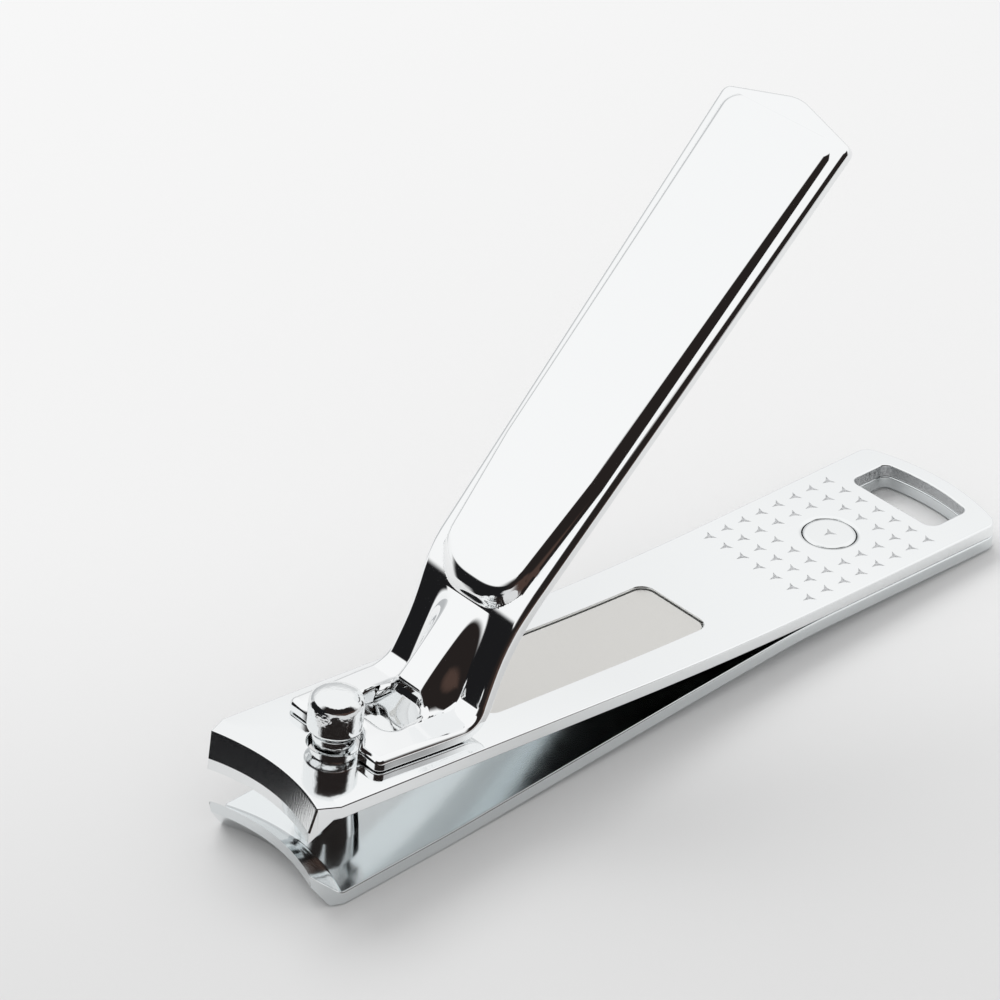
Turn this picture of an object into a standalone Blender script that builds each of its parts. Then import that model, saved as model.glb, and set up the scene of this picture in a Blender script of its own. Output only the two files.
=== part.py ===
"""A nail clipper of the compound-lever kind: two spring-steel arms joined by a rivet at the tail, a turned
pin through both arms behind the jaws, and a stamped lever that hooks under the pin's head.
X runs from the jaws to the tail, Z is up from the table, and the clipper is centred on Y = 0."""

import math

import bmesh
import bpy
from mathutils import Matrix, Vector
from mathutils.geometry import delaunay_2d_cdt

MM = 0.001

# Arms, seen from above
LENGTH = 80.0 * MM
FRONT = -LENGTH / 2
REAR = LENGTH / 2
SHEET = 1.25 * MM
JAW_HALF_WIDTH = 6.44 * MM
JAW_CORNER_CUT = 2.5 * MM
JAW_HOLLOW = 1.15 * MM
FRONT_HALF_WIDTH = 7.6 * MM
MIDDLE_HALF_WIDTH = 7.8 * MM
REAR_HALF_WIDTH = 8.25 * MM
TAIL_RADIUS = 21.5 * MM
TAIL_CORNER = 1.5 * MM

# Arms, seen from the side: inner faces, heights from the table
SEAM_GAP = 0.05 * MM
ARCH_RISE = 1.37 * MM
LOWER_BEND_FROM_REAR = 26.0 * MM
LOWER_BEND_REACH = 3.6 * MM
UPPER_BEND_FROM_REAR = 34.1 * MM
UPPER_BEND_REACH = 11.7 * MM
FLAT_LENGTH = 14.0 * MM
FLAT_BEND_REACH = 2.0 * MM
UPPER_FRONT_HEIGHT = 9.05 * MM

# Jaws: each lip is a wedge with a ground front land
LOWER_EDGE_HEIGHT = 3.47 * MM
JAW_OPENING = 3.3 * MM
LAND_HEIGHT = 1.1 * MM
LIP_INNER_TILT = math.radians(41)
UPPER_LIP_TILT = math.radians(71)
LOWER_LIP_TILT = math.radians(55)

# The line where the upper arm bends when it is squeezed
FLEX_FROM_REAR = 29.1 * MM
FLEX_GAP = 0.1 * MM

# Slot for a ring, through both arms
SLOT_RIM = 1.6 * MM
SLOT_FROM_REAR = 6.9 * MM
SLOT_HALF_WIDTH = 5.1 * MM
SLOT_CORNER = 1.0 * MM

# Rivet at the tail
RIVET_FROM_REAR = 14.8 * MM
RIVET_RADIUS = 2.4 * MM
RIVET_CHAMFER = 0.12 * MM
RIVET_CLEARANCE = 0.1 * MM
RIVET_PROUD = 0.03 * MM

# Satin plate let into the upper arm
INLAY_FROM_FRONT = 20.9 * MM
INLAY_FROM_FLEX = 4.5 * MM
INLAY_HALF_WIDTH = 4.2 * MM
INLAY_CORNER = 1.4 * MM
INLAY_THICKNESS = 0.3 * MM
INLAY_CLEARANCE = 0.08 * MM
POCKET_DEPTH = 0.6 * MM
POCKET_WALL = 0.03 * MM

# Pin: a turned post, square to the upper arm
PIN_FROM_FRONT = 7.9 * MM
SHANK_RADIUS = 1.5 * MM
HEAD_OVERHANG = 0.8 * MM
HEAD_FROM_ARM = 1.1 * MM
HEAD_TAPER = 0.85 * MM
HEAD_WALL = 1.75 * MM
HEAD_DOME = 1.8 * MM
FLANGE_RIM = 0.45 * MM
FLANGE_THICKNESS = 0.6 * MM
PIN_TABLE_GAP = 0.15 * MM
UPPER_HOLE_CLEARANCE = 0.8 * MM
LOWER_HOLE_CLEARANCE = 0.4 * MM

# Raised boss of the lower arm round the pin's foot
BOSS_HEIGHT = 2.6 * MM
BOSS_WALL = 0.35 * MM
BOSS_DRAFT = 0.03 * MM
RECESS_DEPTH = 1.75 * MM
RECESS_CLEARANCE = 0.3 * MM
RECESS_WALL = 0.03 * MM

# Lever: foot, rise and handle of one stamped sheet
LEVER_SHEET = 1.15 * MM
FOOT_GAP = 0.1 * MM
PRONG_OVERHANG = 0.2 * MM
FOOT_REACH = 10.9 * MM
HEEL_RADIUS = 3.2 * MM
RISE_LENGTH = 11.0 * MM
RISE_TURN = math.radians(67.5)
KNEE_RADIUS = 12.0 * MM
HANDLE_LENGTH = 47.3 * MM
HANDLE_TURN = math.radians(18)
FOOT_HALF_WIDTH = 5.8 * MM
HEEL_HALF_WIDTH = 6.1 * MM
WAIST_HALF_WIDTH = 5.7 * MM
KNEE_HALF_WIDTH = 6.3 * MM
TIP_HALF_WIDTH = 7.3 * MM
TIP_ROOF = 1.9 * MM
TIP_CORNER = 0.9 * MM
TIP_APEX = 4.5 * MM
PRONG_CORNER = 0.7 * MM
NOTCH_CLEARANCE = 0.55 * MM
NOTCH_FLARE = math.radians(45)
WINDOW_FROM_PIN = 3.4 * MM
WINDOW_LENGTH = 4.2 * MM
WINDOW_HALF_WIDTH = 2.7 * MM
WINDOW_CORNER = 1.0 * MM

# Raised thumb pad and rib of the lever
PAD_RAISE = 1.05 * MM
PAD_WALL = 0.7 * MM
PAD_FROM_KNEE = 0.1 * MM
PAD_MARGIN_LOW = 1.65 * MM
PAD_MARGIN = 0.9 * MM
PAD_TAPER = 13.0 * MM
PAD_FROM_ROOF = 0.1 * MM
PAD_CORNER = 2.0 * MM
RIB_HALF_WIDTH = 1.9 * MM
RIB_WALL = 0.7 * MM
RIB_FRONT_RAISE = 1.35 * MM

# Colour and roughness of each finish
LOWER_FINISH = ((0.86, 0.86, 0.85), 0.08)
UPPER_FINISH = ((0.87, 0.87, 0.86), 0.07)
INLAY_FINISH = ((0.74, 0.73, 0.71), 0.38)
RIVET_FINISH = ((0.85, 0.85, 0.84), 0.1)
PIN_FINISH = ((0.86, 0.86, 0.85), 0.06)
LEVER_FINISH = ((0.87, 0.87, 0.86), 0.06)

# Fineness of the meshes, and lengths and angles too small to matter
PAST_EDGES = LENGTH / 4
SAME_SPOT = 1e-4 * MM
WELD = 1e-3 * MM
SHARP_TURN = math.radians(30)
ARC_STEPS = 6
SIDE_STEPS = 24
CIRCLE_STEPS = 32
JAW_STEPS = 14
BEND_STEPS = 6
TURN_STEPS = 40


def clear_scene():
    for item in list(bpy.data.objects):
        bpy.data.objects.remove(item)


def arc(centre, radius, start, end, steps=ARC_STEPS):
    angles = [start + (end - start) * i / steps for i in range(steps + 1)]
    return [(centre[0] + radius * math.cos(a), centre[1] + radius * math.sin(a)) for a in angles]


def circle(centre, radius):
    return arc(centre, radius, 0, 2 * math.pi, CIRCLE_STEPS)[:-1]


def rounded(corners, radii):
    """A closed outline with each corner rounded by its own radius."""
    outline = []
    for i, corner in enumerate(corners):
        here = Vector(corner)
        before = (Vector(corners[i - 1]) - here).normalized()
        after = (Vector(corners[(i + 1) % len(corners)]) - here).normalized()
        half = before.angle(after) / 2
        middle = here + (before + after).normalized() * radii[i] / math.sin(half)
        start = here + before * radii[i] / math.tan(half) - middle
        sweep = math.pi - 2 * half
        if before.cross(after) > 0:
            sweep = -sweep
        first = math.atan2(start.y, start.x)
        outline += arc(middle, radii[i], first, first + sweep)
    return outline


def tail_end(half_width, radius, corner, centre_x):
    """Outline of a bowed end, from the +Y side to the -Y side: corner, bow and corner, all tangent."""
    turn = math.asin((half_width - corner) / (radius - corner))
    corner_x = centre_x + (radius - corner) * math.cos(turn)
    corner_y = half_width - corner
    first = arc((corner_x, corner_y), corner, math.pi / 2, turn)
    bow = arc((centre_x, 0), radius, turn, -turn, 2 * ARC_STEPS)
    last = arc((corner_x, -corner_y), corner, -turn, -math.pi / 2)
    return first + bow[1:-1] + last


def inside(point, outline):
    found = False
    x, y = point
    for i, (bx, by) in enumerate(outline):
        ax, ay = outline[i - 1]
        if (ay > y) != (by > y) and x < ax + (y - ay) * (bx - ax) / (by - ay):
            found = not found
    return found


def inset_by(point, outline):
    """How far a point lies inside an outline, negative outside it."""
    spot = Vector(point)
    nearest = math.inf
    for i, end in enumerate(outline):
        start = Vector(outline[i - 1])
        side = Vector(end) - start
        along = max(0, min(1, (spot - start).dot(side) / side.length_squared))
        nearest = min(nearest, (spot - start - side * along).length)
    return nearest if inside(point, outline) else -nearest


def sheet(name, outer, holes, lines, place):
    """A solid sheet over a flat outline. The lines are drawn into its faces, and place(u, v, on_top) puts
    each point of the two faces where it belongs."""
    points = []
    edges = []
    for loop in [outer] + holes:
        edges += [(len(points) + i, len(points) + (i + 1) % len(loop)) for i in range(len(loop))]
        points += [Vector(p) for p in loop]
    for line in lines:
        edges += [(len(points) + i, len(points) + i + 1) for i in range(len(line) - 1)]
        points += [Vector(p) for p in line]
    flat, _, faces, _, _, _ = delaunay_2d_cdt(points, edges, [], 0, SAME_SPOT)
    bm = bmesh.new()
    verts = [bm.verts.new((p.x, p.y, 0)) for p in flat]
    kept = []
    for face in faces:
        middle = sum((flat[i] for i in face), Vector((0, 0))) / len(face)
        if inside(middle, outer) and not any(inside(middle, hole) for hole in holes):
            kept.append(bm.faces.new([verts[i] for i in face]))
    bmesh.ops.delete(bm, geom=[v for v in bm.verts if not v.link_faces], context="VERTS")
    under = list(bm.verts)
    grown = bmesh.ops.extrude_face_region(bm, geom=kept, use_keep_orig=True)
    for vert in [item for item in grown["geom"] if isinstance(item, bmesh.types.BMVert)]:
        vert.co = place(vert.co.x, vert.co.y, True)
    for vert in under:
        vert.co = place(vert.co.x, vert.co.y, False)
    return finished(name, bm)


def turned(name, profile):
    """A solid of revolution about Z. Its profile of (radius, height) points starts and ends on the axis."""
    bm = bmesh.new()
    verts = [bm.verts.new((r, 0, z)) for r, z in profile]
    edges = [bm.edges.new(pair) for pair in zip(verts, verts[1:])]
    bmesh.ops.spin(bm, geom=verts + edges, axis=(0, 0, 1), cent=(0, 0, 0), angle=2 * math.pi,
                   steps=TURN_STEPS, use_duplicate=False)
    bmesh.ops.remove_doubles(bm, verts=bm.verts, dist=WELD)
    return finished(name, bm)


def finished(name, bm):
    bmesh.ops.recalc_face_normals(bm, faces=bm.faces)
    mesh = bpy.data.meshes.new(name)
    bm.to_mesh(mesh)
    bm.free()
    mesh.shade_smooth()
    mesh.set_sharp_from_angle(angle=SHARP_TURN)
    part = bpy.data.objects.new(name, mesh)
    bpy.context.collection.objects.link(part)
    return part


def material(part, name, colour, roughness):
    steel = bpy.data.materials.new(name)
    steel.use_nodes = True
    shader = steel.node_tree.nodes["Principled BSDF"]
    shader.inputs["Base Color"].default_value = (*colour, 1)
    shader.inputs["Metallic"].default_value = 1
    shader.inputs["Roughness"].default_value = roughness
    part.data.materials.append(steel)


def bent_line(corners, reaches):
    """Height along x of straight runs joined by bends. Corners run from the rear to the front, and each inner
    corner is eased over its reach on both sides."""
    slopes = [(z - next_z) / (x - next_x) for (x, z), (next_x, next_z) in zip(corners, corners[1:])]

    def height(x):
        z = corners[0][1] + slopes[0] * (x - corners[0][0])
        for (corner_x, _), reach, before, after in zip(corners[1:-1], reaches, slopes, slopes[1:]):
            past = max(corner_x + reach - x, 0)
            z += (before - after) * (min(past, 2 * reach) ** 2 / (4 * reach) + max(past - 2 * reach, 0))
        return z

    return height


def hollow(y):
    """How far the jaw's edge is set back at y, measured from its two corners."""
    return JAW_HOLLOW * (1 - (y / JAW_HALF_WIDTH) ** 2)


def side_half_width(x):
    if x < 0:
        return MIDDLE_HALF_WIDTH + (FRONT_HALF_WIDTH - MIDDLE_HALF_WIDTH) * x / (FRONT + JAW_CORNER_CUT)
    return MIDDLE_HALF_WIDTH + (REAR_HALF_WIDTH - MIDDLE_HALF_WIDTH) * x / REAR


SEAM_SLOPE = ARCH_RISE / LOWER_BEND_FROM_REAR
UPPER_BEND_HEIGHT = SHEET + SEAM_GAP + SEAM_SLOPE * UPPER_BEND_FROM_REAR
lower_inner = bent_line([(REAR, SHEET), (REAR - LOWER_BEND_FROM_REAR, SHEET + ARCH_RISE),
                         (FRONT + FLAT_LENGTH, SHEET), (FRONT, SHEET)], [LOWER_BEND_REACH, FLAT_BEND_REACH])
upper_inner = bent_line([(REAR, SHEET + SEAM_GAP), (REAR - UPPER_BEND_FROM_REAR, UPPER_BEND_HEIGHT),
                         (FRONT, UPPER_FRONT_HEIGHT)], [UPPER_BEND_REACH])
FLEX = REAR - FLEX_FROM_REAR
UPPER_EDGE_HEIGHT = LOWER_EDGE_HEIGHT + JAW_OPENING
ARM_SLOPE = (UPPER_FRONT_HEIGHT - UPPER_BEND_HEIGHT) / (LENGTH - UPPER_BEND_FROM_REAR)
PIN_LEAN = math.atan(ARM_SLOPE)
PIN_X = FRONT + PIN_FROM_FRONT
PIN_SEAT = Vector((PIN_X, 0, upper_inner(PIN_X) + SHEET))
PIN_FRAME = Matrix.Translation(PIN_SEAT) @ Matrix.Rotation(PIN_LEAN, 4, "Y")
FLANGE_RADIUS = SHANK_RADIUS + FLANGE_RIM
BOSS_X = PIN_X - ARM_SLOPE * (PIN_SEAT.z - RECESS_DEPTH)
RECESS_RADIUS = FLANGE_RADIUS + RECESS_CLEARANCE
BOSS_RADIUS = RECESS_RADIUS + RECESS_WALL + BOSS_WALL
HINGE = Vector((0, 0, FOOT_GAP + LEVER_SHEET))


def across(x):
    """A line straight across a sheet, past both its edges."""
    return [(x, -PAST_EDGES), (x, PAST_EDGES)]


def jaw_line(offset):
    """A line across the arm that follows the hollow of the jaw, so far behind its edge."""
    steps = [2 * i / JAW_STEPS - 1 for i in range(JAW_STEPS + 1)]
    return [(FRONT + offset + hollow(FRONT_HALF_WIDTH * t), FRONT_HALF_WIDTH * t) for t in steps]


def bend_stations(corner_x, reach):
    return [corner_x - reach + 2 * reach * i / BEND_STEPS for i in range(BEND_STEPS + 1)]


def front_outline(end_x):
    """Outline of an arm from the jaw back to end_x, open at the rear: +Y side first, then across the jaw."""
    sides = [x for x in (0, FRONT + JAW_CORNER_CUT) if x < end_x]
    jaw = [(FRONT + hollow(JAW_HALF_WIDTH * t), JAW_HALF_WIDTH * t)
           for t in [1 - 2 * i / JAW_STEPS for i in range(JAW_STEPS + 1)]]
    left = [(x, side_half_width(x)) for x in [end_x] + sides]
    return left + jaw + [(x, -y) for x, y in reversed(left)]


def tail_outline(start_x):
    end = tail_end(REAR_HALF_WIDTH, TAIL_RADIUS, TAIL_CORNER, REAR - TAIL_RADIUS)
    return [(start_x, side_half_width(start_x))] + end + [(start_x, -side_half_width(start_x))]


def tail_holes():
    end = tail_end(SLOT_HALF_WIDTH, TAIL_RADIUS - SLOT_RIM, SLOT_CORNER, REAR - TAIL_RADIUS)
    slot_x = REAR - SLOT_FROM_REAR + SLOT_CORNER
    slot_y = SLOT_HALF_WIDTH - SLOT_CORNER
    front = arc((slot_x, -slot_y), SLOT_CORNER, -math.pi / 2, -math.pi)
    front += arc((slot_x, slot_y), SLOT_CORNER, math.pi, math.pi / 2)
    return [end + front, circle((REAR - RIVET_FROM_REAR, 0), RIVET_RADIUS + RIVET_CLEARANCE)]


def inlay_outline(clearance):
    start = FRONT + INLAY_FROM_FRONT + clearance
    end = FLEX - INLAY_FROM_FLEX - clearance
    half = INLAY_HALF_WIDTH - clearance
    corner = INLAY_CORNER - clearance
    return rounded([(start, -half), (end, -half), (end, half), (start, half)], [corner] * 4)


def closed_line(outline):
    return outline + outline[:1]


def lip_line(land, tilt, x, y):
    """Height of a lip's sloping face, which leaves the jaw's edge at the height of the land."""
    return land + math.tan(tilt) * (x - FRONT - hollow(y))


def lower_arm():
    def place(x, y, on_top):
        from_boss = math.hypot(x - BOSS_X, y)
        if on_top:
            boss = BOSS_HEIGHT if from_boss < BOSS_RADIUS + BOSS_DRAFT / 2 else 0
            return (x, y, max(lower_inner(x) + boss, lip_line(LOWER_EDGE_HEIGHT, -LIP_INNER_TILT, x, y)))
        recess = RECESS_DEPTH if from_boss < RECESS_RADIUS + RECESS_WALL / 2 else 0
        lip = lip_line(LOWER_EDGE_HEIGHT - LAND_HEIGHT, -LOWER_LIP_TILT, x, y)
        return (x, y, max(lower_inner(x) - SHEET + recess, lip))

    centre = (BOSS_X, 0)
    inner_foot = (LOWER_EDGE_HEIGHT - SHEET) / math.tan(LIP_INNER_TILT)
    outer_foot = (LOWER_EDGE_HEIGHT - LAND_HEIGHT) / math.tan(LOWER_LIP_TILT)
    stations = bend_stations(REAR - LOWER_BEND_FROM_REAR, LOWER_BEND_REACH)
    stations += bend_stations(FRONT + FLAT_LENGTH, FLAT_BEND_REACH)
    lines = [across(x) for x in stations] + [jaw_line(inner_foot), jaw_line(outer_foot)]
    for radius in (BOSS_RADIUS + BOSS_DRAFT, BOSS_RADIUS, RECESS_RADIUS + RECESS_WALL, RECESS_RADIUS):
        lines.append(closed_line(circle(centre, radius)))
    outer = front_outline(REAR - TAIL_RADIUS)[::-1] + tail_outline(REAR - TAIL_RADIUS)[1:-1]
    holes = tail_holes() + [circle(centre, SHANK_RADIUS + LOWER_HOLE_CLEARANCE)]
    part = sheet("lower_arm", outer, holes, lines, place)
    material(part, "polished_steel_lower", *LOWER_FINISH)


def upper_arm_place(x, y, on_top):
    if on_top:
        lip = lip_line(UPPER_EDGE_HEIGHT + LAND_HEIGHT, UPPER_LIP_TILT, x, y)
        return (x, y, min(upper_inner(x) + SHEET, lip))
    return (x, y, min(upper_inner(x), lip_line(UPPER_EDGE_HEIGHT, LIP_INNER_TILT, x, y)))


def lip_foot(edge, tilt, face):
    """How far behind the jaw's edge a lip's sloping face meets the arm's face, of this height at FRONT."""
    return (face - edge) / (math.tan(tilt) + ARM_SLOPE)


def upper_arm():
    pocket = inlay_outline(0)
    floor = inlay_outline(POCKET_WALL)

    def place(x, y, on_top):
        spot = upper_arm_place(x, y, on_top)
        sunk = on_top and inset_by((x, y), pocket) > POCKET_WALL / 2
        return (spot[0], spot[1], spot[2] - POCKET_DEPTH) if sunk else spot

    inner_foot = lip_foot(UPPER_EDGE_HEIGHT, LIP_INNER_TILT, UPPER_FRONT_HEIGHT)
    outer_foot = lip_foot(UPPER_EDGE_HEIGHT + LAND_HEIGHT, UPPER_LIP_TILT, UPPER_FRONT_HEIGHT + SHEET)
    stations = bend_stations(REAR - UPPER_BEND_FROM_REAR, UPPER_BEND_REACH)
    lines = [across(x) for x in stations if x < FLEX] + [jaw_line(inner_foot), jaw_line(outer_foot)]
    lines += [closed_line(pocket), closed_line(floor)]
    holes = [circle((PIN_X, 0), SHANK_RADIUS + UPPER_HOLE_CLEARANCE)]
    part = sheet("upper_arm", front_outline(FLEX - FLEX_GAP / 2), holes, lines, place)
    material(part, "polished_steel_upper", *UPPER_FINISH)


def upper_arm_tail():
    stations = bend_stations(REAR - UPPER_BEND_FROM_REAR, UPPER_BEND_REACH)
    lines = [across(x) for x in stations if x > FLEX]
    part = sheet("upper_arm_tail", tail_outline(FLEX + FLEX_GAP / 2), tail_holes(), lines, upper_arm_place)
    material(part, "polished_steel_tail", *UPPER_FINISH)


def inlay_plate():
    def place(x, y, on_top):
        bottom = upper_inner(x) + SHEET - POCKET_DEPTH + SEAM_GAP
        return (x, y, bottom + INLAY_THICKNESS if on_top else bottom)

    outline = inlay_outline(INLAY_CLEARANCE + POCKET_WALL)
    stations = bend_stations(REAR - UPPER_BEND_FROM_REAR, UPPER_BEND_REACH)
    part = sheet("inlay_plate", outline, [], [across(x) for x in stations], place)
    material(part, "satin_steel_inlay", *INLAY_FINISH)


def rear_rivet():
    tail_x = REAR - RIVET_FROM_REAR
    half = SHEET + SEAM_GAP / 2 + RIVET_PROUD
    edge = RIVET_RADIUS - RIVET_CHAMFER
    part = turned("rear_rivet", [(0, -half), (edge, -half), (RIVET_RADIUS, RIVET_CHAMFER - half),
                                 (RIVET_RADIUS, half - RIVET_CHAMFER), (edge, half), (0, half)])
    part.location = (tail_x, 0, lower_inner(tail_x) + SEAM_GAP / 2)
    part.rotation_euler.y = math.atan(SEAM_SLOPE)
    material(part, "polished_steel_rivet", *RIVET_FINISH)


def pin():
    """Turned about its own axis, with heights measured from the top of the upper arm."""
    tilt = FLANGE_RADIUS * math.sin(PIN_LEAN)
    foot = -(PIN_SEAT.z - PIN_TABLE_GAP - tilt) / math.cos(PIN_LEAN)
    shoulder = HEAD_FROM_ARM + HEAD_TAPER
    crown = shoulder + HEAD_WALL
    crown_radius = SHANK_RADIUS + HEAD_OVERHANG
    dome = [(crown_radius * math.cos(a), crown + HEAD_DOME * math.sin(a))
            for a in [math.pi / 2 * i / ARC_STEPS for i in range(ARC_STEPS)]]
    profile = [(0, foot), (FLANGE_RADIUS, foot), (FLANGE_RADIUS, foot + FLANGE_THICKNESS),
               (SHANK_RADIUS, foot + FLANGE_THICKNESS), (SHANK_RADIUS, HEAD_FROM_ARM),
               (crown_radius, shoulder)]
    part = turned("pin", profile + dome + [(0, crown + HEAD_DOME)])
    part.matrix_world = PIN_FRAME
    material(part, "polished_steel_pin", *PIN_FINISH)


class BentPath:
    """A line in the X-Z plane made of straight runs and the arcs between them, measured along its length."""

    def __init__(self, corners, radii):
        self.pieces = []
        self.length = 0
        spot = corners[0]
        for i, radius in enumerate(radii, 1):
            before = (corners[i] - corners[i - 1]).normalized()
            after = (corners[i + 1] - corners[i]).normalized()
            turn = math.atan2(before.x * after.y - before.y * after.x, before.dot(after))
            reach = radius * math.tan(abs(turn) / 2)
            start = corners[i] - before * reach
            self.add(spot, before, (start - spot).length, 0)
            self.add(start, before, radius * abs(turn), turn)
            spot = corners[i] + after * reach
        self.add(spot, after, (corners[-1] - spot).length, 0)

    def add(self, start, heading, length, turn):
        self.pieces.append((self.length, start, heading, length, turn))
        self.length += length

    def at(self, s):
        """The point at s and the heading there."""
        begin, start, heading, length, turn = [p for p in self.pieces if p[0] <= max(s, 0)][-1]
        along = s - begin
        if not turn:
            return start + heading * along, heading
        angle = turn * along / length
        radius = length / turn
        left = Vector((-heading.y, heading.x))
        spot = start + heading * radius * math.sin(angle) + left * radius * (1 - math.cos(angle))
        return spot, Matrix.Rotation(angle, 2) @ heading

    def arc_stations(self):
        return [p[0] + p[3] * i / BEND_STEPS for p in self.pieces if p[4] for i in range(BEND_STEPS + 1)]

    def ends(self):
        return [p[0] for p in self.pieces]


def lever_path():
    """Underside of the lever from the prongs to the tip, in the pin's frame and measured from the hinge."""
    handle_turn = RISE_TURN - HANDLE_TURN
    heel = Vector((FOOT_REACH, -LEVER_SHEET))
    knee = heel + RISE_LENGTH * Vector((math.cos(RISE_TURN), math.sin(RISE_TURN)))
    tip = knee + HANDLE_LENGTH * Vector((math.cos(handle_turn), math.sin(handle_turn)))
    return BentPath([Vector((-PRONG_OVERHANG, -LEVER_SHEET)), heel, knee, tip], [HEEL_RADIUS, KNEE_RADIUS])


def eased(stations, s):
    """A smooth run through (s, value) stations."""
    for (start, low), (end, high) in zip(stations, stations[1:]):
        if s <= end:
            t = max(0, (s - start) / (end - start))
            return low + (high - low) * t * t * (3 - 2 * t)
    return stations[-1][1]


def lever():
    path = lever_path()
    foot_end, heel_end, knee_start, knee_end = path.ends()[1:5]
    pin_s = PRONG_OVERHANG
    roof = path.length - TIP_ROOF
    pad_start = knee_start + PAD_FROM_KNEE
    window_end = pin_s + WINDOW_FROM_PIN + WINDOW_LENGTH
    waist = (heel_end + knee_start) / 2
    widths = [(0, FOOT_HALF_WIDTH), (foot_end, HEEL_HALF_WIDTH), (waist, WAIST_HALF_WIDTH),
              (knee_end, KNEE_HALF_WIDTH)]

    def half_width(s):
        if s < knee_end:
            return eased(widths, s)
        return KNEE_HALF_WIDTH + (TIP_HALF_WIDTH - KNEE_HALF_WIDTH) * (s - knee_end) / (roof - knee_end)

    def pad_outline(inset):
        taper = pad_start + PAD_TAPER
        left = [(pad_start + inset, half_width(pad_start) - PAD_MARGIN_LOW - inset),
                (taper, half_width(taper) - PAD_MARGIN - inset),
                (roof - PAD_FROM_ROOF - inset, half_width(roof) - PAD_MARGIN - inset)]
        return rounded([(s, -y) for s, y in left] + left[::-1], [PAD_CORNER - inset] * 6)

    def rib_raise(s):
        """Offset from the sheet's face to the rib's: the rib bridges the inside of the heel."""
        t = max(0, min(1, (s - window_end) / (pad_start - window_end)))
        start = path_point(window_end, LEVER_SHEET + RIB_FRONT_RAISE)
        end = path_point(pad_start, LEVER_SHEET)
        return start.lerp(end, t) - path_point(s, LEVER_SHEET)

    def path_point(s, height):
        spot, heading = path.at(s)
        return spot + Vector((-heading.y, heading.x)) * height

    def place(s, y, on_top):
        pad = PAD_RAISE * max(0, min(1, inset_by((s, y), pad_foot) / PAD_WALL))
        spot = path_point(s, pad + (LEVER_SHEET if on_top else 0))
        if window_end - WINDOW_CORNER < s < pad_start:
            side = max(0, min(1, (RIB_HALF_WIDTH + RIB_WALL - abs(y)) / RIB_WALL))
            spot = spot + rib_raise(max(s, window_end)) * side
        return (spot.x, y, spot.y)

    pad_foot = pad_outline(0)
    notch_radius = SHANK_RADIUS + NOTCH_CLEARANCE
    notch = arc((pin_s, 0), notch_radius, -NOTCH_FLARE, NOTCH_FLARE)
    mouth = notch[-1][1] + notch[-1][0] / math.tan(NOTCH_FLARE)
    side_end = roof - 2 * TIP_CORNER
    side_s = [PRONG_CORNER + (side_end - PRONG_CORNER) * i / SIDE_STEPS for i in range(1, SIDE_STEPS)]
    prong = arc((PRONG_CORNER, FOOT_HALF_WIDTH - PRONG_CORNER), PRONG_CORNER, math.pi, math.pi / 2)
    left = [(0, mouth)] + prong + [(s, half_width(s)) for s in side_s]
    tip = rounded([(side_end, half_width(side_end)), (roof, TIP_HALF_WIDTH), (path.length, 0),
                   (roof, -TIP_HALF_WIDTH), (side_end, -half_width(side_end))],
                  [0, TIP_CORNER, TIP_APEX, TIP_CORNER, 0])
    outer = notch + left + tip[ARC_STEPS:-ARC_STEPS] + [(s, -y) for s, y in reversed(left)]
    window_start = pin_s + WINDOW_FROM_PIN
    window = rounded([(window_start, -WINDOW_HALF_WIDTH), (window_end, -WINDOW_HALF_WIDTH),
                      (window_end, WINDOW_HALF_WIDTH), (window_start, WINDOW_HALF_WIDTH)],
                     [WINDOW_CORNER] * 4)
    lines = [across(s) for s in path.arc_stations() + [waist]]
    lines += [closed_line(pad_foot), closed_line(pad_outline(PAD_WALL))]
    for y in (RIB_HALF_WIDTH + RIB_WALL, RIB_HALF_WIDTH, -RIB_HALF_WIDTH, -RIB_HALF_WIDTH - RIB_WALL):
        lines.append([(window_end - WINDOW_CORNER, y), (pad_start, y)])
    part = sheet("lever", outer, [window], lines, place)
    part.matrix_world = PIN_FRAME @ Matrix.Translation(HINGE)
    material(part, "polished_steel_lever", *LEVER_FINISH)


clear_scene()
lower_arm()
upper_arm()
upper_arm_tail()
inlay_plate()
rear_rivet()
pin()
lever()
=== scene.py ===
"""Looks of the compound-lever nail clipper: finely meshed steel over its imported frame, light and camera."""

import math

import bmesh
import bpy
import numpy as np
from mathutils import Matrix, Vector
from mathutils.geometry import delaunay_2d_cdt


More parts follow.
